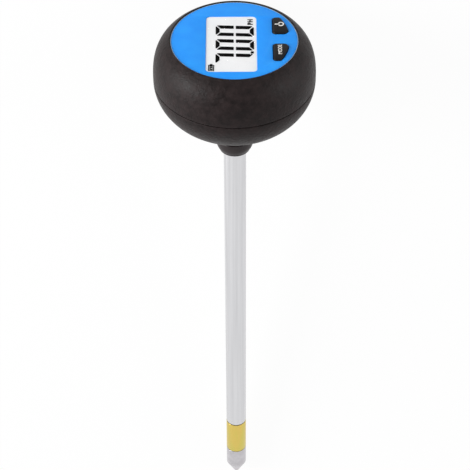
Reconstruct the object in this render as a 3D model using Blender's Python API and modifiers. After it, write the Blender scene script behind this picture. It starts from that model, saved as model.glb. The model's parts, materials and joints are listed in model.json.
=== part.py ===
"""Soil tester: a round head with a display on its face, on a long probe with two electrodes.

Everything is modelled upright, on the axis of the probe, with the parting line of the head
at z = 0, the display at the top and the tip at the bottom. An empty then lays the whole
tester down on the side of its head and on its tip, which is how it comes to rest.
All sizes are in metres.
"""

import math

import bmesh
import bpy
from mathutils import Vector

# Clearance that every pair of seated pieces keeps
FIT_GAP = 0.0003

# Head casing
HEAD_RADIUS = 0.0322
CROWN_HEIGHT = 0.0227
CROWN_POWER = 3.05
BOWL_DEPTH = 0.02295
BOWL_POWER = 2.03
RIM_RADIUS = 0.7904 * HEAD_RADIUS
SHELL_WALL = 0.0022
PARTING_CHAMFER = 0.0003
LAP_HEIGHT = 0.0016
RIM_ROUND = 0.0002
HEAD_SEGMENTS = 50

# Face plate and the deck of the crown that carries it
RIM_LIP = 0.0006
FACE_RADIUS = RIM_RADIUS - RIM_LIP - FIT_GAP
FACE_RECESS = 0.0003
FACE_THICKNESS = 0.0008
DECK_THICKNESS = 0.0018

# Display window, laid out on the face in shares of its radius
WINDOW_LOW_X = -0.449 * FACE_RADIUS
WINDOW_HIGH_X = 0.355 * FACE_RADIUS
WINDOW_LOW_Y = -0.806 * FACE_RADIUS
WINDOW_HIGH_Y = 0.613 * FACE_RADIUS
WINDOW_CORNER = 0.0017
PANE_THICKNESS = 0.0004
LCD_MARGIN = 0.0007
LCD_THICKNESS = 0.0020
LCD_STEP = 0.0008
LCD_LEDGE = 0.0007
FRAME_WALL = 0.0010
ZEBRA_WIDTH = 0.0014

# Keys on the face: their outer arc keeps a margin to its edge, and the rest are shares of that arc
KEY_MARGIN = 0.0031
KEY_ARC_RADIUS = FACE_RADIUS - KEY_MARGIN
KEY_INNER_X = 0.675 * KEY_ARC_RADIUS
KEY_LOW_Y = 0.160 * KEY_ARC_RADIUS
KEY_HIGH_Y = 0.635 * KEY_ARC_RADIUS
KEY_CORNER = 0.060 * KEY_ARC_RADIUS
KEY_PAIR_Y = 0.0005
KEY_PROUD = 0.0009
KEY_EDGE_ROUND = 0.0003
KEY_FLANGE_WIDTH = 0.0007
KEY_FLANGE_THICKNESS = 0.0008
KEY_TRAVEL = 0.0008

# Circuit board and the key switches on it
BOARD_STANDOFF = 0.0047
BOARD_THICKNESS = 0.0016
BOARD_RADIUS = FACE_RADIUS - FIT_GAP
SWITCH_SIDE = 0.0040
SWITCH_FLOOR = 0.0005
PLUNGER_RADIUS = 0.0012
PLUNGER_GRIP = 0.0005
PLUNGER_SPARE = 0.0002
SWITCH_HEIGHT = SWITCH_FLOOR + PLUNGER_SPARE + KEY_TRAVEL + PLUNGER_GRIP
CHIP_SIDE = 0.0080
CHIP_HEIGHT = 0.0014
BOARD_BOSS_RADIUS = 0.0023
BOARD_BOSS_PLACES = ((0.764, 180.0), (0.843, 78.7), (0.872, 305.6))

# Screws
CASE_SCREW_SHANK = 0.0013
CASE_SCREW_LENGTH = 0.0110
CASE_SCREW_HEAD = 0.0023
CASE_SCREW_HEAD_HEIGHT = 0.0014
CASE_BOSS_RADIUS = 0.0035
CASE_SEAT_DROP = 0.0050
CASE_SCREW_ANGLES = (30.0, 150.0, 210.0, 330.0)
BOARD_SCREW_SHANK = 0.0009
BOARD_SCREW_LENGTH = 0.0040
BOARD_SCREW_HEAD = 0.0017
BOARD_SCREW_HEAD_HEIGHT = 0.0010
SCREW_RECESS_WIDTH = 0.0006
SCREW_RECESS_REACH = 0.55
SCREW_RECESS_FLOOR = 0.45
SCREW_HEAD_CURVE = ((0.0, 1.0), (0.55, 1.0), (0.88, 0.72), (1.0, 0.30), (1.0, 0.0))

# Battery well, on the hidden side of the bowl
PAD_ANGLE = 45.0
PAD_DEPTH = 0.0016
PAD_CUT_RADIUS = 0.0120
CAP_RADIUS = 0.0084
CAP_THICKNESS = 0.0018
CAP_EDGE_ROUND = 0.0004
PLUG_RADIUS = 0.0068
PLUG_LENGTH = 0.0038
COIN_SLOT_WIDTH = 0.0016
COIN_SLOT_LENGTH = 0.0120
COIN_SLOT_DEPTH = 0.0010
LUG_RADIUS = 0.0080
LUG_THICKNESS = 0.0012
LUG_TOP = 0.0042
LUG_HALF_ANGLE = 15.0
LUG_SLACK_ANGLE = 3.0
CAP_TURN = 60.0
SEAL_WIRE = 0.00045
CELL_RADIUS = 0.0058
CELL_HEIGHT = 0.0054
CELL_COUNT = 2
CELL_STEP_RADIUS = 0.0048
CELL_STEP_HEIGHT = 0.0008
SPRING_LENGTH = 0.0024
SPRING_RADIUS = 0.0040
SPRING_WIRE = 0.00028
SPRING_TURNS = 3
WELL_WALL = 0.0019
WELL_END = 0.0012
MOUTH_WALL = 0.0013
CONTACT_THICKNESS = 0.0004
STRIP_WIDTH = 0.0030
STRIP_TAIL = 0.0012

# Probe
TUBE_RADIUS = 0.00463
TUBE_WALL = 0.0006
TUBE_TOP = -0.0140
TUBE_BOTTOM = -0.20540
TUBE_CHAMFER = 0.0004
NECK_RADIUS = 0.0076
NECK_BOTTOM = -0.0298
NECK_FILLET = 0.0014
COLLAR_BOTTOM = -0.0363
COLLAR_SHOULDER = -0.0323
COLLAR_LIP = 0.0051
COLLAR_CURVE = 1.15
COLLAR_STEPS = 5
SEAL_CORD = 0.00075
NUT_ACROSS_FLATS = 0.0150
NUT_HEIGHT = 0.0036
RING_LENGTH = 0.0189
RING_GAP = 0.00045
TIP_CYLINDER = 0.0124
TIP_CONE = 0.0077
TIP_NOSE_RADIUS = 0.0003
PLUG_DEPTH = 0.0054
ROD_RADIUS = 0.0013
ROD_TOP = -0.0120
ROD_SEAT_DEPTH = 0.0070
SLEEVE_WALL = 0.0005
LEAD_RADIUS = 0.00045
LEAD_ARM = 0.0060
RING_LEAD_PAD = (-0.37 * BOARD_RADIUS, -0.17 * BOARD_RADIUS)
TIP_LEAD_PAD = (0.37 * BOARD_RADIUS, -0.17 * BOARD_RADIUS)
NEGATIVE_LEAD_PAD = (-0.17 * BOARD_RADIUS, 0.19 * BOARD_RADIUS)
POSITIVE_LEAD_PAD = (0.41 * BOARD_RADIUS, 0.19 * BOARD_RADIUS)
TUBE_SEGMENTS = 26
SMALL_SEGMENTS = 14
CAP_SEGMENTS = 36
WELL_SEGMENTS = 28
CELL_SEGMENTS = 24
SCREW_SEGMENTS = 10
SPRING_STEPS = 10

# Distance under which points of one mesh are joined, and the size at which an axis is drawn
MERGE_DISTANCE = 0.000002
AXIS_MARK = 0.01

COLOURS = {
    "charcoal": ((0.045, 0.040, 0.038), 0.62, 0.0),
    "black": ((0.020, 0.018, 0.018), 0.50, 0.0),
    "blue": ((0.030, 0.340, 1.000), 0.35, 0.0),
    "clear": ((0.900, 0.920, 0.930), 0.05, 0.0),
    "display_grey": ((0.780, 0.790, 0.800), 0.25, 0.0),
    "white": ((0.800, 0.800, 0.780), 0.50, 0.0),
    "board_green": ((0.020, 0.180, 0.060), 0.45, 0.0),
    "steel": ((0.620, 0.620, 0.620), 0.30, 1.0),
    "satin_alloy": ((0.680, 0.680, 0.690), 0.42, 1.0),
    "brass": ((0.640, 0.500, 0.110), 0.32, 1.0),
    "rubber": ((0.015, 0.015, 0.015), 0.75, 0.0),
    "red": ((0.550, 0.020, 0.020), 0.50, 0.0),
}


def clear_scene():
    for item in list(bpy.data.objects):
        bpy.data.objects.remove(item, do_unlink=True)


def new_collection(name):
    group = bpy.data.collections.new(name)
    bpy.context.scene.collection.children.link(group)
    return group


def material(name, finish):
    colour, roughness, metallic = COLOURS[finish]
    made = bpy.data.materials.new(name)
    made.use_nodes = True
    shader = made.node_tree.nodes["Principled BSDF"]
    shader.inputs["Base Color"].default_value = (*colour, 1.0)
    shader.inputs["Roughness"].default_value = roughness
    shader.inputs["Metallic"].default_value = metallic
    return made


def empty(name, location=(0.0, 0.0, 0.0), rotation=(0.0, 0.0, 0.0), parent=None):
    made = bpy.data.objects.new(name, None)
    made.empty_display_size = AXIS_MARK
    made.location = location
    made.rotation_euler = rotation
    made.parent = parent
    PARTS.objects.link(made)
    return made


def place(name, data, parent, finish=None, location=(0.0, 0.0, 0.0)):
    """A sub-part with its own material, or a hidden cutter where no finish is given."""
    made = bpy.data.objects.new(name, data)
    made.location = location
    made.parent = parent
    if finish is None:
        CUTTERS.objects.link(made)
        made.hide_render = True
        made.display_type = "WIRE"
    else:
        PARTS.objects.link(made)
        made.data.materials.append(material(name, finish))
    return made


def smooth(mesh, angle=35.0):
    mesh.shade_smooth()
    mesh.set_sharp_from_angle(angle=math.radians(angle))


def turned(name, profile, parent, finish=None, segments=TUBE_SEGMENTS, ring=False):
    """A profile of (radius, height) turned about the axis; a ring's profile closes on itself."""
    count = len(profile)
    edges = [(i, i + 1) for i in range(count - 1)]
    if ring:
        edges.append((count - 1, 0))
    mesh = bpy.data.meshes.new(name)
    mesh.from_pydata([(radius, 0.0, height) for radius, height in profile], edges, [])
    made = place(name, mesh, parent, finish)
    screw = made.modifiers.new("turn", "SCREW")
    screw.steps = segments
    screw.render_steps = segments
    screw.use_merge_vertices = True
    screw.merge_threshold = MERGE_DISTANCE
    screw.use_smooth_shade = True
    return made


def rod(name, radius, bottom, top, parent, finish=None, centre=(0.0, 0.0), sides=SMALL_SEGMENTS):
    """A cylinder or prism that stands on the height named bottom."""
    build = bmesh.new()
    bmesh.ops.create_cone(
        build, cap_ends=True, segments=sides, radius1=radius, radius2=radius, depth=top - bottom
    )
    bmesh.ops.translate(build, vec=(0.0, 0.0, (top + bottom) / 2), verts=build.verts)
    mesh = bpy.data.meshes.new(name)
    build.to_mesh(mesh)
    build.free()
    smooth(mesh)
    return place(name, mesh, parent, finish, (centre[0], centre[1], 0.0))


def box(name, low, high, parent, finish=None):
    """A block between two corners."""
    build = bmesh.new()
    bmesh.ops.create_cube(build, size=1.0)
    size = Vector(high) - Vector(low)
    bmesh.ops.scale(build, vec=size, verts=build.verts)
    bmesh.ops.translate(build, vec=(Vector(high) + Vector(low)) / 2, verts=build.verts)
    mesh = bpy.data.meshes.new(name)
    build.to_mesh(mesh)
    build.free()
    return place(name, mesh, parent, finish)


def outline_curve(name, outline, bottom, top, round_edge=0.0):
    """A flat 2D curve raised to a plate, with rounded edges where asked."""
    curve = bpy.data.curves.new(name, "CURVE")
    curve.dimensions = "2D"
    curve.fill_mode = "BOTH"
    curve.extrude = (top - bottom) / 2 - round_edge
    curve.bevel_depth = round_edge
    curve.bevel_resolution = 1
    curve.offset = -round_edge
    spline = curve.splines.new("POLY")
    spline.points.add(len(outline) - 1)
    for point, (x, y) in zip(spline.points, outline):
        point.co = (x, y, 0.0, 1.0)
    spline.use_cyclic_u = True
    return curve


def plate(name, outline, bottom, top, parent, finish=None, round_edge=0.0):
    """A plate from a 2D curve, made a mesh so that it can be cut and joined."""
    curve = outline_curve(name + "_curve", outline, bottom, top, round_edge)
    guide = bpy.data.objects.new(name + "_guide", curve)
    CUTTERS.objects.link(guide)
    bpy.context.view_layer.update()
    graph = bpy.context.evaluated_depsgraph_get()
    mesh = bpy.data.meshes.new_from_object(guide.evaluated_get(graph))
    bpy.data.objects.remove(guide, do_unlink=True)
    build = bmesh.new()
    build.from_mesh(mesh)
    bmesh.ops.remove_doubles(build, verts=build.verts, dist=MERGE_DISTANCE)
    bmesh.ops.translate(build, vec=(0.0, 0.0, (top + bottom) / 2), verts=build.verts)
    build.to_mesh(mesh)
    build.free()
    smooth(mesh)
    mesh.name = name
    return place(name, mesh, parent, finish)


def wire(name, points, radius, parent, finish):
    """A round wire through the given points, with closed ends."""
    curve = bpy.data.curves.new(name, "CURVE")
    curve.dimensions = "3D"
    curve.bevel_depth = radius
    curve.bevel_resolution = 1
    curve.use_fill_caps = True
    spline = curve.splines.new("POLY")
    spline.points.add(len(points) - 1)
    for point, place_of_point in zip(spline.points, points):
        point.co = (*place_of_point, 1.0)
    return place(name, curve, parent, finish)


def boolean(target, cutter, operation):
    step = target.modifiers.new(operation.lower() + "_" + cutter.name, "BOOLEAN")
    step.operation = operation
    step.object = cutter
    step.solver = "EXACT"


def cut(target, cutter):
    boolean(target, cutter, "DIFFERENCE")


def unite(target, other):
    boolean(target, other, "UNION")


def trim(target, envelope):
    boolean(target, envelope, "INTERSECT")


def arc(centre, radius, start, end, steps):
    """Points on a circle from one angle to another, in degrees."""
    angles = [math.radians(start + (end - start) * i / steps) for i in range(steps + 1)]
    return [(centre[0] + radius * math.cos(a), centre[1] + radius * math.sin(a)) for a in angles]


def rounded_rectangle(low, high, corner, steps=4):
    centres = (
        (high[0] - corner, high[1] - corner, 0.0),
        (low[0] + corner, high[1] - corner, 90.0),
        (low[0] + corner, low[1] + corner, 180.0),
        (high[0] - corner, low[1] + corner, 270.0),
    )
    points = []
    for x, y, start in centres:
        points += arc((x, y), corner, start, start + 90.0, steps)
    return points


def key_outline(grow, side):
    """A key's outline: a straight inner side, two straight ends and an outer arc about the pair's centre.

    The corners are arcs about fixed centres, so growing the outline only adds to the radii.
    """
    corner = KEY_CORNER + grow
    reach = KEY_ARC_RADIUS - KEY_CORNER
    near_y = KEY_LOW_Y + KEY_CORNER
    far_y = KEY_HIGH_Y - KEY_CORNER
    inner_x = KEY_INNER_X + KEY_CORNER
    near = (math.sqrt(reach**2 - near_y**2), near_y)
    far = (math.sqrt(reach**2 - far_y**2), far_y)
    near_turn = math.degrees(math.atan2(near[1], near[0]))
    far_turn = math.degrees(math.atan2(far[1], far[0]))
    points = arc((inner_x, near_y), corner, 180.0, 270.0, 3)
    points += arc(near, corner, -90.0, near_turn, 4)
    points += arc((0.0, 0.0), KEY_ARC_RADIUS + grow, near_turn, far_turn, 4)[1:-1]
    points += arc(far, corner, far_turn, 90.0, 3)
    points += arc((inner_x, far_y), corner, 90.0, 180.0, 3)
    return [(x, KEY_PAIR_Y + side * y) for x, y in points][::side]


def sector(inner, outer, start, end, steps=8):
    """The outline of a piece of a flat ring between two angles."""
    return arc((0.0, 0.0), outer, start, end, steps) + arc((0.0, 0.0), inner, end, start, steps)


def crown_height_at(radius):
    return CROWN_HEIGHT * (1.0 - (radius / HEAD_RADIUS) ** CROWN_POWER) ** (1.0 / CROWN_POWER)


def crown_points(wall, low, high, steps):
    """Points of the crown's curve, wall inside the outer face, from the height high down to low."""
    radius = HEAD_RADIUS - wall
    height = CROWN_HEIGHT - wall
    start = math.asin((high / height) ** (CROWN_POWER / 2))
    end = math.asin((low / height) ** (CROWN_POWER / 2))
    angles = [start + (end - start) * i / steps for i in range(steps + 1)]
    share = 2.0 / CROWN_POWER
    return [(radius * math.cos(a) ** share, height * math.sin(a) ** share) for a in angles]


def bowl_radius_at(wall, depth):
    """The bowl's radius at a depth below the parting line, wall inside the outer face."""
    share = 1.0 - (depth / (BOWL_DEPTH - wall)) ** BOWL_POWER
    return (HEAD_RADIUS - wall) * share ** (1.0 / BOWL_POWER)


def bowl_points(wall, start_radius, end_radius, steps):
    """Points of the bowl's curve, wall inside the outer face, between two radii."""
    radius = HEAD_RADIUS - wall
    depth = BOWL_DEPTH - wall
    start = math.acos(min(1.0, (start_radius / radius) ** (BOWL_POWER / 2)))
    end = math.acos(min(1.0, (end_radius / radius) ** (BOWL_POWER / 2)))
    angles = [start + (end - start) * i / steps for i in range(steps + 1)]
    share = 2.0 / BOWL_POWER
    return [(radius * math.cos(a) ** share, -depth * abs(math.sin(a)) ** share) for a in angles]


# Heights that follow from the sizes, from the face down to the board
HALF_GAP = FIT_GAP / 2
RIM_Z = crown_height_at(RIM_RADIUS)
FACE_TOP = RIM_Z - FACE_RECESS
FACE_BOTTOM = FACE_TOP - FACE_THICKNESS
DECK_TOP = FACE_BOTTOM - FIT_GAP
DECK_BOTTOM = DECK_TOP - DECK_THICKNESS
LCD_TOP = DECK_TOP
PANE_BOTTOM = FACE_TOP - PANE_THICKNESS
LCD_BOTTOM = LCD_TOP - LCD_THICKNESS
BOARD_TOP = DECK_BOTTOM - BOARD_STANDOFF
BOARD_BOTTOM = BOARD_TOP - BOARD_THICKNESS
KEY_TOP = FACE_TOP + KEY_PROUD
FLANGE_TOP = DECK_BOTTOM - FIT_GAP
FLANGE_BOTTOM = FLANGE_TOP - KEY_FLANGE_THICKNESS
SWITCH_BOTTOM = BOARD_TOP + FIT_GAP
SWITCH_TOP = SWITCH_BOTTOM + SWITCH_HEIGHT
LAP_RADIUS = HEAD_RADIUS - SHELL_WALL / 2 - HALF_GAP
CASE_SCREW_CIRCLE = HEAD_RADIUS - SHELL_WALL - CASE_BOSS_RADIUS - FIT_GAP
CASE_SEAT = -CASE_SEAT_DROP

# Places along the probe
BORE_RADIUS = TUBE_RADIUS + FIT_GAP
TUBE_BORE = TUBE_RADIUS - TUBE_WALL
RING_TOP = TUBE_BOTTOM - RING_GAP
RING_BOTTOM = RING_TOP - RING_LENGTH
TIP_TOP = RING_BOTTOM - FIT_GAP
TIP_SHOULDER = TIP_TOP - TIP_CYLINDER
TIP_END = TIP_SHOULDER - TIP_CONE
SLEEVE_BORE = ROD_RADIUS + FIT_GAP
SLEEVE_RADIUS = SLEEVE_BORE + SLEEVE_WALL

NUT_CORNER = NUT_ACROSS_FLATS / 2 / math.cos(math.pi / 6)
NUT_SEAT_RADIUS = NUT_CORNER + FIT_GAP
NUT_SEAT = bowl_points(SHELL_WALL, NUT_SEAT_RADIUS, NUT_SEAT_RADIUS, 1)[0][1]

# Depths in the battery well, measured inwards from the pad
RECESS_DEPTH = CAP_THICKNESS + FIT_GAP
PLUG_END = CAP_THICKNESS + PLUG_LENGTH
MOUTH_DEPTH = PLUG_END + FIT_GAP
CELLS_START = MOUTH_DEPTH
CELL_PITCH = CELL_HEIGHT + FIT_GAP
SPRING_START = CELLS_START + CELL_COUNT * CELL_PITCH
WELL_DEPTH = SPRING_START + SPRING_LENGTH + FIT_GAP
WELL_RADIUS = CELL_RADIUS + FIT_GAP
WELL_OUTER = WELL_RADIUS + WELL_WALL
MOUTH_OUTER = LUG_RADIUS + FIT_GAP + MOUTH_WALL
SEAL_GROOVE_RADIUS = PLUG_RADIUS - 2 * SEAL_WIRE - FIT_GAP

clear_scene()
PARTS = new_collection("soil_tester")
CUTTERS = new_collection("cutters")


def crown_profile():
    """The crown from the middle of its deck, over the rim and down to the parting line, and back."""
    seat = FACE_RADIUS + FIT_GAP
    foot = HALF_GAP + PARTING_CHAMFER
    points = [
        (0.0, DECK_TOP),
        (seat, DECK_TOP),
        (seat, RIM_Z - RIM_ROUND),
        (seat + RIM_ROUND, RIM_Z),
    ]
    points += crown_points(0.0, foot, RIM_Z, 9)
    points += [
        (HEAD_RADIUS - PARTING_CHAMFER, HALF_GAP),
        (LAP_RADIUS + FIT_GAP, HALF_GAP),
        (LAP_RADIUS + FIT_GAP, LAP_HEIGHT + FIT_GAP),
    ]
    points += crown_points(SHELL_WALL, LAP_HEIGHT + FIT_GAP, DECK_BOTTOM, 4)[::-1]
    points.append((0.0, DECK_BOTTOM))
    return points


def bowl_profile():
    """The bowl from its tongue down the outer face to the neck, and back up the inside."""
    edge = HEAD_RADIUS - PARTING_CHAMFER
    start = bowl_radius_at(0.0, HALF_GAP + PARTING_CHAMFER)
    neck_top = bowl_points(0.0, NECK_RADIUS, NECK_RADIUS, 1)[0][1]
    inset = NECK_FILLET * (1.0 - math.sqrt(0.5))
    points = [(LAP_RADIUS, LAP_HEIGHT), (LAP_RADIUS, -HALF_GAP), (edge, -HALF_GAP)]
    points += bowl_points(0.0, start, NECK_RADIUS + NECK_FILLET, 9)
    points += [
        (NECK_RADIUS + inset, neck_top - inset),
        (NECK_RADIUS, neck_top - NECK_FILLET),
        (NECK_RADIUS, NECK_BOTTOM),
        (BORE_RADIUS, NECK_BOTTOM),
        (BORE_RADIUS, NUT_SEAT),
    ]
    points += bowl_points(SHELL_WALL, NUT_SEAT_RADIUS, HEAD_RADIUS - SHELL_WALL, 5)
    points.append((HEAD_RADIUS - SHELL_WALL, LAP_HEIGHT))
    return points


def lay_down():
    """The empty that lays the tester on the side of its head and on its tip.

    The tilt is where the flat facets under the head and under the tip reach equally far down.
    """
    head = crown_profile() + bowl_profile()
    head_flat = math.cos(math.pi / HEAD_SEGMENTS)
    tip_flat = math.cos(math.pi / TUBE_SEGMENTS)

    def drop(radius, height, tilt):
        return radius * math.cos(tilt) - height * math.sin(tilt)

    def head_drop(tilt):
        return max(drop(radius * head_flat, height, tilt) for radius, height in head)

    low, high = 0.0, math.radians(45.0)
    for _ in range(60):
        tilt = (low + high) / 2
        if drop(TUBE_RADIUS * tip_flat, TIP_SHOULDER, tilt) < head_drop(tilt):
            low = tilt
        else:
            high = tilt
    front = max(
        radius * head_flat * math.sin(tilt) + height * math.cos(tilt) for radius, height in head
    )
    back = -TIP_END * math.cos(tilt)
    turn = (tilt - math.pi / 2, 0.0, math.pi)
    return empty("tester_axis", (0.0, (front - back) / 2, head_drop(tilt)), turn)


TESTER = lay_down()


def pad_frame():
    """The empty on the battery pad: its z axis points out of the bowl, along the cap's axis."""
    angle = math.radians(PAD_ANGLE)
    crest = Vector((0.0, HEAD_RADIUS * math.cos(angle), -BOWL_DEPTH * math.sin(angle)))
    normal = Vector((0.0, math.cos(angle) / HEAD_RADIUS, -math.sin(angle) / BOWL_DEPTH)).normalized()
    turn = math.atan2(-normal.y, normal.z)
    return empty("battery_axis", crest - normal * PAD_DEPTH, (turn, 0.0, 0.0), TESTER)


BATTERY = pad_frame()


def screw_mesh(shank, length, head, head_height):
    """A pan head screw with a cross recess, head up, its seat at z = 0."""
    profile = [(across * head, up * head_height) for across, up in SCREW_HEAD_CURVE]
    profile += [(shank, 0.0), (shank, -length + shank), (0.0, -length)]
    blank = turned("screw_blank", profile, None, None, SCREW_SEGMENTS)
    half = SCREW_RECESS_WIDTH / 2
    reach = head * SCREW_RECESS_REACH + half
    floor = head_height * SCREW_RECESS_FLOOR
    for index, (x, y) in enumerate(((reach, half), (half, reach))):
        cut(blank, box(f"screw_slot_{index}", (-x, -y, floor), (x, y, head_height * 2), None))
    bpy.context.view_layer.update()
    graph = bpy.context.evaluated_depsgraph_get()
    mesh = bpy.data.meshes.new_from_object(blank.evaluated_get(graph))
    smooth(mesh)
    for item in list(CUTTERS.objects):
        bpy.data.objects.remove(item, do_unlink=True)
    return mesh


CASE_SCREW_MESH = screw_mesh(
    CASE_SCREW_SHANK, CASE_SCREW_LENGTH, CASE_SCREW_HEAD, CASE_SCREW_HEAD_HEIGHT
)
BOARD_SCREW_MESH = screw_mesh(
    BOARD_SCREW_SHANK, BOARD_SCREW_LENGTH, BOARD_SCREW_HEAD, BOARD_SCREW_HEAD_HEIGHT
)


def case_screw_places():
    angles = [math.radians(angle) for angle in CASE_SCREW_ANGLES]
    return [(CASE_SCREW_CIRCLE * math.cos(a), CASE_SCREW_CIRCLE * math.sin(a)) for a in angles]


def board_boss_places():
    """The board's screw places, each a share of the board's radius and an angle."""
    turns = [(share * BOARD_RADIUS, math.radians(angle)) for share, angle in BOARD_BOSS_PLACES]
    return [(radius * math.cos(a), radius * math.sin(a)) for radius, a in turns]


def crown_core():
    """The crown's outer form, half a wall smaller, which trims what stands inside it."""
    inset = SHELL_WALL / 2
    points = [(0.0, DECK_TOP - inset)] + crown_points(inset, HALF_GAP, DECK_TOP - inset, 10)
    return points + [(0.0, HALF_GAP)]


def bowl_core():
    """The bowl's outer form, half a wall smaller."""
    inset = SHELL_WALL / 2
    start = bowl_radius_at(inset, HALF_GAP)
    points = [(0.0, -HALF_GAP)] + bowl_points(inset, start, NECK_RADIUS, 12)
    return points + [(0.0, -BOWL_DEPTH + inset)]


def make_upper_shell():
    shell = turned("upper_shell", crown_profile(), TESTER, "charcoal", HEAD_SEGMENTS)
    core = turned("crown_core", crown_core(), TESTER, None, HEAD_SEGMENTS)
    deck_middle = (DECK_TOP + DECK_BOTTOM) / 2
    for index, centre in enumerate(case_screw_places()):
        boss = rod(f"upper_boss_{index}", CASE_BOSS_RADIUS, -HALF_GAP, deck_middle, TESTER, None, centre)
        trim(boss, core)
        unite(shell, boss)
    for index, centre in enumerate(board_boss_places()):
        foot = BOARD_TOP + FIT_GAP
        boss = rod(f"board_boss_{index}", BOARD_BOSS_RADIUS, foot, deck_middle, TESTER, None, centre)
        unite(shell, boss)
    display_low = (WINDOW_LOW_X - LCD_MARGIN - FIT_GAP, WINDOW_LOW_Y - LCD_MARGIN - FIT_GAP)
    display_high = (WINDOW_HIGH_X + LCD_MARGIN + FIT_GAP, WINDOW_HIGH_Y + LCD_MARGIN + FIT_GAP)
    past_deck = DECK_BOTTOM - SHELL_WALL
    cut(shell, box("display_cut", (*display_low, past_deck), (*display_high, RIM_Z), TESTER))
    for name, side in (("power", 1), ("mode", -1)):
        hole = key_outline(FIT_GAP, side)
        cut(shell, plate(name + "_key_cut", hole, past_deck, RIM_Z, TESTER))
    pilot = CASE_SCREW_SHANK + FIT_GAP
    pilot_top = CASE_SEAT + CASE_SCREW_LENGTH + FIT_GAP
    for index, centre in enumerate(case_screw_places()):
        cut(shell, rod(f"case_pilot_{index}", pilot, -SHELL_WALL, pilot_top, TESTER, None, centre))
    board_pilot = BOARD_SCREW_SHANK + FIT_GAP
    board_pilot_top = BOARD_BOTTOM - FIT_GAP + BOARD_SCREW_LENGTH + FIT_GAP
    for index, centre in enumerate(board_boss_places()):
        drill = rod(
            f"board_pilot_{index}", board_pilot, BOARD_BOTTOM, board_pilot_top, TESTER, None, centre
        )
        cut(shell, drill)


def make_lower_shell():
    shell = turned("lower_shell", bowl_profile(), TESTER, "charcoal", HEAD_SEGMENTS, ring=True)
    core = turned("bowl_core", bowl_core(), TESTER, None, HEAD_SEGMENTS)
    for index, centre in enumerate(case_screw_places()):
        boss = rod(f"lower_boss_{index}", CASE_BOSS_RADIUS, -BOWL_DEPTH, FIT_GAP, TESTER, None, centre)
        trim(boss, core)
        unite(shell, boss)
    mouth_low = -MOUTH_DEPTH - WELL_END
    well_low = -WELL_DEPTH - WELL_END
    mouth = rod("mouth_boss", MOUTH_OUTER, mouth_low, -FIT_GAP * 3, BATTERY, sides=CAP_SEGMENTS)
    well = rod("well_boss", WELL_OUTER, well_low, -RECESS_DEPTH, BATTERY, sides=WELL_SEGMENTS)
    unite(shell, mouth)
    unite(shell, well)

    cut(shell, rod("pad_cut", PAD_CUT_RADIUS, 0.0, PAD_DEPTH * 2, BATTERY, None, sides=CAP_SEGMENTS))
    recess = CAP_RADIUS + FIT_GAP
    cut(shell, rod("recess_cut", recess, -RECESS_DEPTH, PAD_DEPTH, BATTERY, None, sides=CAP_SEGMENTS))
    mouth_bore = PLUG_RADIUS + FIT_GAP
    cut(shell, rod("mouth_cut", mouth_bore, -MOUTH_DEPTH, PAD_DEPTH, BATTERY, None, sides=CAP_SEGMENTS))
    cut(shell, rod("well_cut", WELL_RADIUS, -WELL_DEPTH, PAD_DEPTH, BATTERY, None, sides=WELL_SEGMENTS))
    groove_top = -LUG_TOP + FIT_GAP
    groove_bottom = -LUG_TOP - LUG_THICKNESS - FIT_GAP
    groove_outer = LUG_RADIUS + FIT_GAP
    slack = LUG_HALF_ANGLE + LUG_SLACK_ANGLE
    entry_outer = LUG_RADIUS + FIT_GAP * 2 / 3
    entry_slack = LUG_HALF_ANGLE + LUG_SLACK_ANGLE * 2 / 3
    for index, start in enumerate((0.0, 180.0)):
        track = sector(CELL_RADIUS, groove_outer, start - slack, start + CAP_TURN + slack)
        cut(shell, plate(f"track_cut_{index}", track, groove_bottom, groove_top, BATTERY))
        turn = start + CAP_TURN
        entry = sector(CELL_RADIUS, entry_outer, turn - entry_slack, turn + entry_slack, 4)
        cut(shell, plate(f"entry_cut_{index}", entry, -LUG_TOP - LUG_THICKNESS / 2, PAD_DEPTH, BATTERY))
    strip_low = (CELL_STEP_RADIUS, -STRIP_WIDTH / 2 - FIT_GAP, -WELL_DEPTH - WELL_END * 2)
    strip_high = (strip_outer() + FIT_GAP, STRIP_WIDTH / 2 + FIT_GAP, -MOUTH_DEPTH + FIT_GAP)
    cut(shell, box("strip_cut", strip_low, strip_high, BATTERY))
    lead_hole = LEAD_RADIUS + FIT_GAP
    cut(shell, rod("lead_cut", lead_hole, -WELL_DEPTH - WELL_END * 2, -WELL_DEPTH + WELL_END, BATTERY, None))

    shank_hole = CASE_SCREW_SHANK + FIT_GAP
    head_hole = CASE_SCREW_HEAD + FIT_GAP
    for index, centre in enumerate(case_screw_places()):
        low = CASE_SEAT - FIT_GAP * 2
        cut(shell, rod(f"shank_cut_{index}", shank_hole, low, SHELL_WALL, TESTER, None, centre))
        cut(shell, rod(f"head_cut_{index}", head_hole, -BOWL_DEPTH, CASE_SEAT, TESTER, None, centre))


def strip_outer():
    return WELL_RADIUS + FIT_GAP + CONTACT_THICKNESS


def make_face():
    holes = {"window": window_inset(0.0)}
    holes["power_hole"] = key_outline(FIT_GAP, 1)
    holes["mode_hole"] = key_outline(FIT_GAP, -1)
    disc = rod("face_plate", FACE_RADIUS, FACE_BOTTOM, FACE_TOP, TESTER, "blue", sides=HEAD_SEGMENTS)
    past = FACE_THICKNESS
    for name, outline in holes.items():
        cut(disc, plate(name + "_cut", outline, FACE_BOTTOM - past, FACE_TOP + past, TESTER))
    plate("display_window", window_inset(FIT_GAP), PANE_BOTTOM, FACE_TOP, TESTER, "clear")


def window_inset(inset):
    """The window's outline, smaller all round by a distance."""
    low = (WINDOW_LOW_X + inset, WINDOW_LOW_Y + inset)
    high = (WINDOW_HIGH_X - inset, WINDOW_HIGH_Y - inset)
    return rounded_rectangle(low, high, WINDOW_CORNER - inset)


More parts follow.
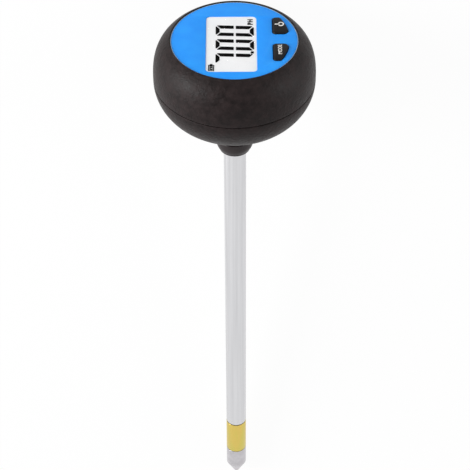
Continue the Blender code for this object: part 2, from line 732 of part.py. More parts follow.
def make_display():
    low = Vector((WINDOW_LOW_X - LCD_MARGIN, WINDOW_LOW_Y - LCD_MARGIN, LCD_BOTTOM))
    high = Vector((WINDOW_HIGH_X + LCD_MARGIN, WINDOW_HIGH_Y + LCD_MARGIN, LCD_TOP))
    glass = box("lcd_panel", low, high, TESTER, "display_grey")
    front = plate("front_glass", window_inset(FIT_GAP), LCD_TOP - LCD_STEP, PANE_BOTTOM - FIT_GAP, TESTER)
    unite(glass, front)
    for name, side in (("near", low.x), ("far", high.x)):
        ledge_low = (side - LCD_LEDGE, low.y - LCD_LEDGE, LCD_BOTTOM - LCD_STEP)
        ledge_high = (side + LCD_LEDGE, high.y + LCD_LEDGE, LCD_BOTTOM + LCD_STEP)
        cut(glass, box(f"ledge_cut_{name}", ledge_low, ledge_high, TESTER))

    frame_top = LCD_BOTTOM - FIT_GAP
    frame_bottom = BOARD_TOP + FIT_GAP
    outer = rounded_rectangle(low.xy, high.xy, FRAME_WALL, 2)
    wall = Vector((FRAME_WALL, FRAME_WALL))
    inner = rounded_rectangle(low.xy + wall, high.xy - wall, FRAME_WALL / 2, 2)
    frame = plate("lcd_frame", outer, frame_bottom, frame_top, TESTER, "white")
    cut(frame, plate("lcd_frame_cut", inner, BOARD_TOP - FIT_GAP, LCD_TOP, TESTER))
    inset = FRAME_WALL + FIT_GAP
    for name, edge, way in (("near", low.x + inset, 1.0), ("far", high.x - inset, -1.0)):
        sides = sorted((edge, edge + way * ZEBRA_WIDTH))
        strip_low = (sides[0], low.y + inset + FRAME_WALL, frame_bottom)
        strip_high = (sides[1], high.y - inset - FRAME_WALL, frame_top)
        box(f"contact_strip_{name}", strip_low, strip_high, TESTER, "rubber")


def key_centre(side):
    reach = (KEY_INNER_X + KEY_ARC_RADIUS) / 2
    return (reach - KEY_CORNER / 2, KEY_PAIR_Y + side * (KEY_LOW_Y + KEY_HIGH_Y) / 2)


def make_key(name, side):
    """A key cap with its retaining flange, and the switch and plunger under it."""
    centre = key_centre(side)
    axis = empty(name + "_axis", (centre[0], centre[1], FLANGE_TOP), parent=TESTER)

    def on_axis(outline):
        return [(x - centre[0], y - centre[1]) for x, y in outline]

    cap = plate(
        name + "_button",
        on_axis(key_outline(0.0, side)),
        -KEY_FLANGE_THICKNESS / 2 - KEY_EDGE_ROUND,
        KEY_TOP - FLANGE_TOP,
        axis,
        "black",
        KEY_EDGE_ROUND,
    )
    flange = plate(
        name + "_flange", on_axis(key_outline(KEY_FLANGE_WIDTH, side)), -KEY_FLANGE_THICKNESS, 0.0, axis
    )
    unite(cap, flange)
    plunger_top = FLANGE_BOTTOM - FIT_GAP - FLANGE_TOP
    plunger_bottom = SWITCH_TOP - PLUNGER_GRIP - FLANGE_TOP
    rod(name + "_plunger", PLUNGER_RADIUS, plunger_bottom, plunger_top, axis, "white")

    half = SWITCH_SIDE / 2
    low = (centre[0] - half, centre[1] - half, SWITCH_BOTTOM)
    high = (centre[0] + half, centre[1] + half, SWITCH_TOP)
    housing = box(name + "_switch", low, high, TESTER, "black")
    hole = PLUNGER_RADIUS + FIT_GAP
    floor = SWITCH_BOTTOM + SWITCH_FLOOR
    cut(housing, rod(name + "_switch_cut", hole, floor, FLANGE_TOP, TESTER, None, centre))


def make_board():
    board = rod("circuit_board", BOARD_RADIUS, BOARD_BOTTOM, BOARD_TOP, TESTER, "board_green", sides=48)
    notch = CASE_BOSS_RADIUS + FIT_GAP
    low = BOARD_BOTTOM - BOARD_THICKNESS
    high = BOARD_TOP + BOARD_THICKNESS
    for index, centre in enumerate(case_screw_places()):
        cut(board, rod(f"notch_cut_{index}", notch, low, high, TESTER, None, centre))
    hole = BOARD_SCREW_SHANK + FIT_GAP
    for index, centre in enumerate(board_boss_places()):
        cut(board, rod(f"board_cut_{index}", hole, low, high, TESTER, None, centre))
    half = CHIP_SIDE / 2
    chip_top = BOARD_BOTTOM - FIT_GAP
    chip_low = (-half, -CHIP_SIDE, chip_top - CHIP_HEIGHT)
    box("main_chip", chip_low, (half, 0.0, chip_top), TESTER, "black")


def add_screw(name, mesh, centre, seat):
    """A screw driven upwards from its seat."""
    made = place(name, mesh.copy(), TESTER, "steel", (centre[0], centre[1], seat))
    made.rotation_euler = (math.pi, 0.0, 0.0)


def make_screws():
    for index, centre in enumerate(case_screw_places()):
        add_screw(f"case_screw_{index + 1}", CASE_SCREW_MESH, centre, CASE_SEAT - FIT_GAP)
    for index, centre in enumerate(board_boss_places()):
        add_screw(f"board_screw_{index + 1}", BOARD_SCREW_MESH, centre, BOARD_BOTTOM - FIT_GAP)


def make_battery_cap():
    """A coin-slot cap whose two lugs turn in the track of the well's mouth."""
    groove_low = -CAP_THICKNESS - FIT_GAP - SEAL_WIRE * 2
    profile = [
        (0.0, 0.0),
        (CAP_RADIUS - CAP_EDGE_ROUND, 0.0),
        (CAP_RADIUS, -CAP_EDGE_ROUND),
        (CAP_RADIUS, -CAP_THICKNESS),
        (SEAL_GROOVE_RADIUS, -CAP_THICKNESS),
        (SEAL_GROOVE_RADIUS, groove_low - FIT_GAP),
        (PLUG_RADIUS, groove_low - FIT_GAP),
        (PLUG_RADIUS, -PLUG_END),
        (CELL_RADIUS, -PLUG_END),
        (CELL_RADIUS, -PLUG_END + CONTACT_THICKNESS + FIT_GAP),
        (0.0, -PLUG_END + CONTACT_THICKNESS + FIT_GAP),
    ]
    cap = turned("battery_cap", profile, BATTERY, "charcoal", CAP_SEGMENTS)
    for index, start in enumerate((0.0, 180.0)):
        root = CELL_RADIUS + WELL_WALL / 4
        lug = sector(root, LUG_RADIUS, start - LUG_HALF_ANGLE, start + LUG_HALF_ANGLE, 4)
        unite(cap, plate(f"lug_{index}", lug, -LUG_TOP - LUG_THICKNESS, -LUG_TOP, BATTERY))
    half_width = COIN_SLOT_WIDTH / 2
    half_length = COIN_SLOT_LENGTH / 2
    slot_low = (-half_length, -half_width, -COIN_SLOT_DEPTH)
    cut(cap, box("coin_slot_cut", slot_low, (half_length, half_width, CAP_THICKNESS), BATTERY))
    seal_middle = (PLUG_RADIUS - SEAL_WIRE, -CAP_THICKNESS - FIT_GAP - SEAL_WIRE)
    ring = arc(seal_middle, SEAL_WIRE, 90.0, -270.0, 6)[:-1]
    turned("cap_seal", ring, BATTERY, "rubber", CELL_SEGMENTS, ring=True)


def make_battery():
    contact_top = -PLUG_END + CONTACT_THICKNESS
    contact = CELL_RADIUS - FIT_GAP
    rod("cap_contact", contact, -PLUG_END, contact_top, BATTERY, "steel", sides=CELL_SEGMENTS)
    for index in range(CELL_COUNT):
        top = -CELLS_START - index * CELL_PITCH
        profile = [
            (0.0, top),
            (CELL_RADIUS, top),
            (CELL_RADIUS, top - CELL_HEIGHT + CELL_STEP_HEIGHT),
            (CELL_STEP_RADIUS, top - CELL_HEIGHT + CELL_STEP_HEIGHT),
            (CELL_STEP_RADIUS, top - CELL_HEIGHT),
            (0.0, top - CELL_HEIGHT),
        ]
        turned(f"button_cell_{index + 1}", profile, BATTERY, "steel", CELL_SEGMENTS)

    steps = SPRING_TURNS * SPRING_STEPS
    rise = SPRING_LENGTH - 2 * SPRING_WIRE
    points = []
    for i in range(steps + 1):
        angle = math.tau * i / SPRING_STEPS
        height = -SPRING_START - SPRING_WIRE - rise * i / steps
        points.append((SPRING_RADIUS * math.cos(angle), SPRING_RADIUS * math.sin(angle), height))
    wire("cell_spring", points, SPRING_WIRE, BATTERY, "steel")

    strip_low = (WELL_RADIUS + FIT_GAP, -STRIP_WIDTH / 2, -WELL_DEPTH - WELL_END - STRIP_TAIL)
    strip_high = (strip_outer(), STRIP_WIDTH / 2, -MOUTH_DEPTH - FIT_GAP)
    box("positive_strip", strip_low, strip_high, BATTERY, "steel")


def make_collar():
    """The collar under the neck: a short cylinder that draws in to the tube, with a seal inside."""
    top = NECK_BOTTOM - FIT_GAP
    seal_outer = TUBE_RADIUS + 3 * FIT_GAP + 2 * SEAL_CORD
    seal_floor = top - FIT_GAP - 2 * SEAL_CORD - FIT_GAP
    width = NECK_RADIUS - COLLAR_LIP
    height = COLLAR_SHOULDER - COLLAR_BOTTOM
    profile = [(seal_outer, top), (NECK_RADIUS - PARTING_CHAMFER, top), (NECK_RADIUS, top - PARTING_CHAMFER)]
    for step in range(COLLAR_STEPS + 1):
        turn = math.pi / 2 * step / COLLAR_STEPS
        across = width * abs(math.cos(turn)) ** COLLAR_CURVE
        profile.append((COLLAR_LIP + across, COLLAR_SHOULDER - height * math.sin(turn) ** COLLAR_CURVE))
    profile += [(BORE_RADIUS, COLLAR_BOTTOM), (BORE_RADIUS, seal_floor), (seal_outer, seal_floor)]
    turned("collar_nut", profile, TESTER, "black", TUBE_SEGMENTS, ring=True)
    middle = (TUBE_RADIUS + FIT_GAP + SEAL_CORD, top - FIT_GAP - SEAL_CORD)
    turned("tube_seal", arc(middle, SEAL_CORD, 90.0, -270.0, 6)[:-1], TESTER, "rubber", 22, ring=True)


def insulator(name, bottom, top):
    """A bush that fits the tube and the ring, with the rod's sleeve through it."""
    plug = TUBE_BORE - FIT_GAP
    profile = [(plug, top), (plug, bottom), (SLEEVE_BORE, bottom), (SLEEVE_BORE, top)]
    return turned(name, profile, TESTER, "black", TUBE_SEGMENTS, ring=True)


def make_probe():
    tube = [
        (TUBE_RADIUS, TUBE_TOP),
        (TUBE_RADIUS, TUBE_BOTTOM + TUBE_CHAMFER),
        (TUBE_RADIUS - TUBE_CHAMFER / 2, TUBE_BOTTOM),
        (TUBE_BORE, TUBE_BOTTOM),
        (TUBE_BORE, TUBE_TOP),
    ]
    turned("probe_tube", tube, TESTER, "satin_alloy", TUBE_SEGMENTS, ring=True)
    nut_bottom = NUT_SEAT + FIT_GAP
    nut = rod("tube_nut", NUT_CORNER, nut_bottom, nut_bottom + NUT_HEIGHT, TESTER, "brass", sides=6)
    past = NUT_HEIGHT
    past_top = nut_bottom + 2 * past
    cut(nut, rod("nut_cut", BORE_RADIUS, nut_bottom - past, past_top, TESTER, sides=CELL_SEGMENTS))

    ring = [
        (TUBE_RADIUS, RING_TOP),
        (TUBE_RADIUS, RING_BOTTOM),
        (TUBE_BORE, RING_BOTTOM),
        (TUBE_BORE, RING_TOP),
    ]
    turned("ring_electrode", ring, TESTER, "brass", TUBE_SEGMENTS, ring=True)
    upper_middle = TUBE_BOTTOM - RING_GAP / 2
    upper = insulator("upper_insulator", upper_middle - PLUG_DEPTH, upper_middle + PLUG_DEPTH)
    groove = LEAD_RADIUS + FIT_GAP
    groove_low = upper_middle - PLUG_DEPTH - past
    groove_high = upper_middle + PLUG_DEPTH + past
    place_of_lead = (-lead_place(), 0.0)
    cut(upper, rod("lead_groove_cut", groove, groove_low, groove_high, TESTER, None, place_of_lead))
    insulator("lower_insulator", RING_BOTTOM, RING_BOTTOM + PLUG_DEPTH)

    seat_bottom = TIP_TOP - ROD_SEAT_DEPTH - FIT_GAP
    tip = [
        (0.0, TIP_TOP),
        (TUBE_RADIUS, TIP_TOP),
        (TUBE_RADIUS, TIP_SHOULDER),
        (TIP_NOSE_RADIUS, TIP_END + TIP_NOSE_RADIUS),
        (0.0, TIP_END),
    ]
    electrode = turned("tip_electrode", tip, TESTER, "satin_alloy", TUBE_SEGMENTS)
    cut(electrode, rod("tip_cut", SLEEVE_BORE, seat_bottom, TIP_TOP + past, TESTER, None))
    rod("centre_rod", ROD_RADIUS, seat_bottom + FIT_GAP, ROD_TOP, TESTER, "steel")
    sleeve_bottom = TUBE_BOTTOM - RING_GAP / 2 + PLUG_DEPTH + FIT_GAP
    sleeve = [
        (SLEEVE_RADIUS, TUBE_TOP),
        (SLEEVE_RADIUS, sleeve_bottom),
        (SLEEVE_BORE, sleeve_bottom),
        (SLEEVE_BORE, TUBE_TOP),
    ]
    turned("rod_sleeve", sleeve, TESTER, "white", 16, ring=True)


def lead_place():
    """How far from the axis the ring's lead runs, against the wall of the tube."""
    return TUBE_BORE - FIT_GAP - LEAD_RADIUS


def bent_path(start, start_way, end, end_way, steps=8):
    """Points on a cubic curve that leaves and arrives along the given arms."""
    a = Vector(start)
    b = a + Vector(start_way)
    d = Vector(end)
    c = d + Vector(end_way)
    points = []
    for i in range(steps + 1):
        t = i / steps
        s = 1.0 - t
        points.append(tuple(a * s**3 + b * 3 * s * s * t + c * 3 * s * t * t + d * t**3))
    return points


def make_leads():
    """The wires inside, from the electrodes and the battery contacts up to the board."""
    pad = BOARD_BOTTOM - FIT_GAP
    down = (0.0, 0.0, -LEAD_ARM)
    up = (0.0, 0.0, LEAD_ARM)
    side = lead_place()
    ring_foot = RING_TOP - PLUG_DEPTH - 2 * LEAD_RADIUS
    bend = (-side, 0.0, TUBE_TOP + 2 * LEAD_RADIUS)
    ring_path = [(-side, 0.0, ring_foot)] + bent_path(bend, up, (*RING_LEAD_PAD, pad), down)
    wire("ring_lead", ring_path, LEAD_RADIUS, TESTER, "white")
    rod_end = (0.0, 0.0, ROD_TOP + FIT_GAP)
    tip_path = bent_path(rod_end, up, (*TIP_LEAD_PAD, pad), down)
    wire("tip_lead", tip_path, LEAD_RADIUS, TESTER, "red")

    to_tester = BATTERY.matrix_parent_inverse @ BATTERY.matrix_basis
    short_arm = LEAD_ARM / 3
    inward = to_tester.to_3x3() @ Vector((0.0, 0.0, -short_arm))
    short_down = (0.0, 0.0, -short_arm)
    well_end = to_tester @ Vector((0.0, 0.0, -WELL_DEPTH + SPRING_WIRE))
    past_wall = to_tester @ Vector((0.0, 0.0, -WELL_DEPTH - WELL_END - 2 * LEAD_RADIUS))
    minus_path = bent_path(past_wall, inward, (*NEGATIVE_LEAD_PAD, pad), short_down)
    wire("negative_lead", [tuple(well_end)] + minus_path, LEAD_RADIUS, TESTER, "black")
    strip_middle = WELL_RADIUS + FIT_GAP + CONTACT_THICKNESS + FIT_GAP + LEAD_RADIUS
    tail = to_tester @ Vector((strip_middle, 0.0, -WELL_DEPTH - WELL_END - STRIP_TAIL / 2))
    plus_path = bent_path(tail, inward, (*POSITIVE_LEAD_PAD, pad), short_down)
    wire("positive_lead", plus_path, LEAD_RADIUS, TESTER, "red")


make_upper_shell()
make_lower_shell()
make_face()
make_display()
make_key("power", 1)
make_key("mode", -1)
make_board()
make_screws()
make_battery_cap()
make_battery()
make_collar()
make_probe()
make_leads()
bpy.context.view_layer.update()
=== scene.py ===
# %% [markdown]
# # A soil tester on a pale table
#
# The tester is a round, soft-touch head with a display in its face, on a long metal probe that
# ends in a brass ring and a steel point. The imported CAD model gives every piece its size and
# place, in flat facets. This script keeps that frame as it is, and builds the skin that a camera
# sees around it: smooth casings, a rounded face plate, domed keys, the segments of the display
# and the metal of the probe. A size is measured from the frame, or named where it is first
# needed, so that the skin fits the model under it.

# %% Load the frame and keep its box
import json
import math

import bmesh
import bpy
import numpy as np
from mathutils import Matrix, Vector
from mathutils.geometry import tessellate_polygon


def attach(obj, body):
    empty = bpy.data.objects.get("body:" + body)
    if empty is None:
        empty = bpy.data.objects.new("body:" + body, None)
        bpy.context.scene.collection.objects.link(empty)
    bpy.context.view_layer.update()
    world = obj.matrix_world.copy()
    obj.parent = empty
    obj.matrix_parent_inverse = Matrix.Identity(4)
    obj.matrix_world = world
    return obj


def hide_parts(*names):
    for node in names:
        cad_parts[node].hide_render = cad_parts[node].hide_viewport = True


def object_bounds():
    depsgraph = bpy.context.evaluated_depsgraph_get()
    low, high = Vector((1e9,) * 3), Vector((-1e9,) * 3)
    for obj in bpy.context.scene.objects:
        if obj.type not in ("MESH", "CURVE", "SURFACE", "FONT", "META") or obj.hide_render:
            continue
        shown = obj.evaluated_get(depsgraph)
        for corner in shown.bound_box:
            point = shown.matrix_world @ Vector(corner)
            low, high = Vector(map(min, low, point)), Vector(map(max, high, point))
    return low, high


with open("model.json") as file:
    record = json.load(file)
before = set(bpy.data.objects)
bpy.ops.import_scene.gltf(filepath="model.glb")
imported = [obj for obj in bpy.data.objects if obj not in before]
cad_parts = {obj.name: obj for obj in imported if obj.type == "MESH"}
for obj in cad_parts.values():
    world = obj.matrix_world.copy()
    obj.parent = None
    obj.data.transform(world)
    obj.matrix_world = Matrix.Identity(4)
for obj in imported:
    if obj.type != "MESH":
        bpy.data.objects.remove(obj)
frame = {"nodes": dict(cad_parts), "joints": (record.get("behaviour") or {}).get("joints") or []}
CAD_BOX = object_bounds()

print("nodes in the frame:", len(frame["nodes"]))

# %% [markdown]
# ## The tester's own axes
#
# The tester lies on its side, so its own axes are turned against the table's. The pieces could
# be modelled upright and the objects tilted afterwards, but a finished piece keeps its place in
# its mesh. So everything is drawn on the axis of the probe, as on a lathe, and one function puts
# the points where the tester lies. On these axes z runs from the tip to the face, x to the right
# of the face, and y is across. The keys slide along z, so the joint of a key says which way it
# points, and the brass ring says where it is. The height zero is the parting line between the
# two halves of the head, a known distance under the rim.

# %% Work out the axes from the frame
RIM_SHARE = 0.7904
CROWN_HEIGHT = 0.0227
CROWN_POWER = 3.05


def curve_height(share, height, power):
    """Height at a share of a superellipse's largest radius: height (1 - share ** power) ** (1 / power)."""
    return height * (1 - share**power) ** (1 / power)


def points_of(mesh):
    """All the vertices of a mesh, one row each."""
    flat = np.zeros(len(mesh.vertices) * 3)
    mesh.vertices.foreach_get("co", flat)
    return flat.reshape(-1, 3)


def vertices_of(node):
    """All the vertices of a CAD node."""
    return points_of(frame["nodes"][node].data)


joints = {joint["name"]: joint for joint in frame["joints"]}
Z_AXIS = -np.array(joints["power_button_press"]["axis"])
X_AXIS = np.array([-1.0, 0.0, 0.0])
Y_AXIS = np.cross(Z_AXIS, X_AXIS)
AXES = np.array([X_AXIS, Y_AXIS, Z_AXIS])

rim_height = curve_height(RIM_SHARE, CROWN_HEIGHT, CROWN_POWER)
ring_points = vertices_of("ring_electrode") @ AXES.T
ring_middle = (ring_points.min(0) + ring_points.max(0)) / 2
rim_reach = (vertices_of("upper_shell") @ Z_AXIS).max()
ORIGIN = np.array([ring_middle[0], ring_middle[1], rim_reach - rim_height]) @ AXES


def span(node):
    """The lowest and highest corner of a CAD node on the tester's own axes."""
    points = (vertices_of(node) - ORIGIN) @ AXES.T
    return points.min(0), points.max(0)


def placed(points):
    """Points on the tester's axes, put where the tester lies."""
    return ORIGIN + np.asarray(points) @ AXES


print("parting line at", ORIGIN.round(5), "face looks along", Z_AXIS.round(4))

# %% [markdown]
# ## From arrays to meshes
#
# Most of the tester is round, or a plate. Such shapes could be made with the Screw and Solidify
# modifiers. Here each is a grid of points instead, worked out as one array: rings that follow
# one another, with the same number of points in each. A lathe shape is such a grid, and so is
# the wall of a plate, so one function makes the faces of both, and every rounding stays a number
# that can be changed. Another function puts the arrays into an object, closes the poles, turns
# the faces outwards and lets it ride on a body of the frame.

# %% Grids and lathe shapes
LATHE_STEPS = 160
PROBE_STEPS = 96


def grid_faces(rings, count, first=0, closed=False):
    """Quads between neighbouring rings of count points. A closed grid joins its last ring to the first."""
    ring = np.arange(rings if closed else rings - 1)[:, None]
    point = np.arange(count)[None, :]
    here = ring * count
    there = (ring + 1) % rings * count
    after = (point + 1) % count
    quads = np.stack([here + point, here + after, there + after, there + point], -1)
    return (quads.reshape(-1, 4) + first).tolist()


def turned(profile, closed=False, steps=LATHE_STEPS):
    """A lathe shape: the point (radius, height) at angle a is (radius cos a, radius sin a, height)."""
    radius, height = np.asarray(profile, float).T
    angle = np.arange(steps) * math.tau / steps
    ring = np.stack([np.cos(angle), np.sin(angle), np.ones(steps)], -1)
    rings = np.stack([radius, radius, height], -1)[:, None, :] * ring
    return rings.reshape(-1, 3), grid_faces(len(radius), steps, closed=closed)


print("a ring of the head has", LATHE_STEPS, "points, and a ring of the probe", PROBE_STEPS)

# %% Meshes and objects
MERGE = 1e-7
SHARP_ANGLE = 35.0


def mesh_from(name, points, faces, sharp=SHARP_ANGLE):
    """A closed mesh whose edges over the angle sharp, in degrees, stay crisp. It is turned outwards if its
    volume, a sum of tetrahedra from its middle to each triangle, is below zero."""
    points = np.asarray(points, float)
    triangles = [(f[0], f[i], f[i + 1]) for f in faces for i in range(1, len(f) - 1)]
    a, b, c = (points - points.mean(0))[np.array(triangles)].transpose(1, 0, 2)
    if (a * np.cross(b, c)).sum() < 0:
        faces = [face[::-1] for face in faces]
    mesh = bpy.data.meshes.new(name)
    mesh.from_pydata(points.tolist(), [], faces)
    build = bmesh.new()
    build.from_mesh(mesh)
    bmesh.ops.remove_doubles(build, verts=build.verts, dist=MERGE)
    build.to_mesh(mesh)
    build.free()
    mesh.shade_smooth()
    mesh.set_sharp_from_angle(angle=math.radians(sharp))
    return mesh


def linked(name, data):
    """A new object in the scene."""
    made = bpy.data.objects.new(name, data)
    bpy.context.scene.collection.objects.link(made)
    return made


def piece(name, shape, replaces=(), body="meter", sharp=SHARP_ANGLE):
    """An object that rides on a body and stands for the CAD nodes it replaces. Its shape is its points, on
    the tester's axes, and its faces."""
    points, faces = shape
    mesh = mesh_from(name, placed(points), faces, sharp)
    made = linked(name, mesh)
    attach(made, body)
    if replaces:
        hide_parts(*replaces)
    print(f"{name}: {len(mesh.vertices)} points, {len(mesh.polygons)} faces")
    return made


print("edges over", SHARP_ANGLE, "degrees stay crisp")

# %% [markdown]
# ## Rounded corners on a profile
#
# A moulded edge is never quite sharp, and the thin light line along it is what makes plastic
# look like plastic. A Bevel modifier could round it, but it gives many edges one width. So a
# profile is drawn with sharp corners and a radius for each, and this function swaps a corner for
# an arc that touches both of its sides.

# %% Round the corners of a profile
ROUND_STEPS = 5


def rounded(corners, closed=False, steps=ROUND_STEPS):
    """Corners (radius, height, rounding): an arc reaches rounding / tan(half the corner's angle) each way."""
    corners = np.asarray(corners, float)
    points = []
    for index, (here, size) in enumerate(zip(corners[:, :2], corners[:, 2])):
        ends = not closed and index in (0, len(corners) - 1)
        if size == 0 or ends:
            points.append(here)
            continue
        before = corners[index - 1, :2] - here
        after = corners[(index + 1) % len(corners), :2] - here
        before /= np.linalg.norm(before)
        after /= np.linalg.norm(after)
        half = math.acos(float(np.clip(before @ after, -1, 1))) / 2
        middle_way = (before + after) / np.linalg.norm(before + after)
        centre = here + middle_way * size / math.sin(half)
        start = here + before * size / math.tan(half) - centre
        end = here + after * size / math.tan(half) - centre
        sweep = math.pi - 2 * half
        turn = np.linspace(0, sweep, steps + 1)[:, None]
        points.extend(centre + (np.sin(sweep - turn) * start + np.sin(turn) * end) / math.sin(sweep))
    return np.array(points)


print("a rounded corner becomes", ROUND_STEPS + 1, "points")

# %% [markdown]
# ## Flat plates with rounded edges
#
# The face, the window and the display glass are thin plates. They could be cut with Booleans and
# then bevelled, but a bevel fails where two edges come close. Here a plate has an outline that
# can be grown or shrunk by a distance, because its corners are arcs about fixed centres. The
# rounded edge is the same outline, shrinking as it climbs a quarter circle, and the flat top is
# filled with triangles between the outline and its holes.

# %% Outlines


def arc_points(centre, radius, start, end, steps):
    """Points on a circle between two angles in degrees, both ends included."""
    angle = np.radians(np.linspace(start, end, steps + 1))
    return np.asarray(centre) + radius * np.stack([np.cos(angle), np.sin(angle)], -1)


def rectangle(low, high, corner, grow=0.0, steps=8):
    """A rectangle whose four corners are arcs of radius corner + grow about fixed centres."""
    left, front, right, back = *(np.asarray(low) + corner), *(np.asarray(high) - corner)
    centres = (((right, back), 0.0), ((left, back), 90.0), ((left, front), 180.0), ((right, front), 270.0))
    return np.concatenate([arc_points(c, corner + grow, a, a + 90.0, steps) for c, a in centres])


def at_height(outline, height):
    """A flat outline lifted to a height, which may be one number or one for each point."""
    return np.column_stack([outline, np.broadcast_to(height, len(outline))])


print("a rounded rectangle has", len(rectangle((0, 0), (1, 1), 0.1)), "points")

# %% Plates


def flat_faces(points, loops, upwards):
    """Triangles that fill the first loop of indices, less the holes, facing up or down the z axis."""
    index = np.concatenate(loops)
    filled = tessellate_polygon([[Vector(p) * 1000 for p in points[loop]] for loop in loops])
    triangles = index[np.array(filled)]
    a, b, c = points[triangles][..., :2].transpose(1, 0, 2)
    turns_left = (b - a)[:, 0] * (c - a)[:, 1] > (b - a)[:, 1] * (c - a)[:, 0]
    triangles[turns_left != upwards] = triangles[turns_left != upwards][:, ::-1]
    return triangles.tolist()


def stack(rings):
    """Rings from the bottom up, joined by walls and closed by a flat top and bottom."""
    points, count = np.concatenate(rings), len(rings[0])
    faces = grid_faces(len(rings), count)
    faces += flat_faces(points, [np.arange(count) + count * (len(rings) - 1)], True)
    faces += flat_faces(points, [np.arange(count)], False)
    return points, faces


def prism(outline, bottom, top):
    """An outline with straight walls between two heights. It is turned round if its signed area, half the
    sum of x dy - y dx, is below zero."""
    x, y = np.asarray(outline, float).T
    if (x * np.roll(y, -1) - y * np.roll(x, -1)).sum() < 0:
        outline = outline[::-1]
    return stack([at_height(outline, bottom), at_height(outline, top)])


def slab(outline, bottom, top, edge, holes=()):
    """A plate between two heights. Up the quarter circle of radius edge, at angle a, the outline has
    shrunk by edge (1 - cos a) and stands at top - edge + edge sin a; a hole grows by as much."""
    angle = np.linspace(0, math.pi / 2, ROUND_STEPS + 1)
    shrink = edge * (1 - np.cos(angle))
    height = top - edge + edge * np.sin(angle)
    points, faces, tops, bottoms, first = [], [], [], [], 0
    for line, way in [(outline, -1), *((hole, 1) for hole in holes)]:
        rings = [at_height(line(0.0), bottom)]
        rings += [at_height(line(way * s), h) for s, h in zip(shrink, height)]
        count = len(rings[0])
        walls = grid_faces(len(rings), count, first)
        faces += walls if way < 0 else [wall[::-1] for wall in walls]
        bottoms.append(np.arange(count) + first)
        tops.append(bottoms[-1] + count * (len(rings) - 1))
        points += rings
        first += count * len(rings)
    points = np.concatenate(points)
    faces += flat_faces(points, tops, True) + flat_faces(points, bottoms, False)
    return points, faces


print("the edge of a plate climbs in", ROUND_STEPS, "steps")

# %% [markdown]
# ## The head
#
# The head is two moulded halves with a soft coating. It could start as a ball that is pressed
# flat, but the real one is flatter than a ball on top and round underneath. A superellipse has a
# number for just that: the radius over its largest value and the height over its largest value,
# each raised to a power, add up to one. Where the halves meet there is a fine groove, and under
# the lip of the crown a tongue of the bowl closes it against the light. The upper half has a
# round seat for the face plate, with openings for the display and the keys.

# %% Sizes of the head
GAP = 0.0003
SHELL_WALL = 0.0022
BOWL_DEPTH = 0.02295
BOWL_POWER = 2.03
LAP_HEIGHT = 0.0016
DECK_THICKNESS = 0.0018
PARTING_EDGE = 0.00028
RIM_EDGE = 0.00028
NECK_FILLET = 0.0012
CURVE_STEPS = 48
CROWN_INNER_STEPS = 12
BOWL_INNER_STEPS = 16
ROUND_ALLOWANCE = 0.00008  # keeps the round head above the table on which the CAD's flats lie
face_low, face_high = span("face_plate")
collar_low, collar_high = span("collar_nut")
HEAD_RADIUS = span("upper_shell")[1][1] - ROUND_ALLOWANCE
NECK_RADIUS = collar_high[1]
NECK_END = span("lower_shell")[0][2]
SEAT_RADIUS = face_high[0] + GAP
DECK_TOP = face_low[2] - GAP
DECK_BOTTOM = DECK_TOP - DECK_THICKNESS
LAP_RADIUS = HEAD_RADIUS - SHELL_WALL / 2 - GAP / 2


def curve_points(largest, height, power, low, high, steps):
    """Points on a superellipse, evenly spaced by their angle, between two heights."""
    start = math.asin((low / height) ** (power / 2))
    end = math.asin((high / height) ** (power / 2))
    angle = np.linspace(start, end, steps)
    return np.stack([largest * np.cos(angle) ** (2 / power), height * np.sin(angle) ** (2 / power)], -1)


def no_rounding(points):
    """A stretch of a profile that needs no rounding."""
    return np.column_stack([points, np.zeros(len(points))])


print(f"head {HEAD_RADIUS * 2000:.2f} mm wide, seat for the face {SEAT_RADIUS * 2000:.2f} mm")

# %% [markdown]
# ## The openings in the crown's deck
#
# The keys share an outline: a straight side towards the display, two straight ends and a long
# flat arc along the edge of the face. It could be traced as a long list of points, but five arcs
# about named centres are shorter and can be grown. So the same function, grown by a clearance,
# gives the openings in the deck and, with a hair's width, those in the face plate.

# %% Outlines of the keys, the display and the window
KEY_ARC_RADIUS = 0.02705
KEY_ARC_X = -0.0055
KEY_INNER_X = 0.0149
KEY_LOW_Y = 0.0032
KEY_HIGH_Y = 0.0137
KEY_INNER_CORNER = 0.0012
KEY_NEAR_CORNER = 0.002
KEY_FAR_CORNER = 0.0009
KEY_PAIR_Y = 0.0005
KEY_SLIT = 0.00014
WINDOW_SLIT = 0.00005
WINDOW_RISE = 0.0004
WINDOW_CORNER = 0.0017
KEY_CORNER_STEPS = 6
KEY_NEAR_STEPS = 8
KEY_ARC_STEPS = 10
KEY_SIDES = {"power": 1, "mode": -1}


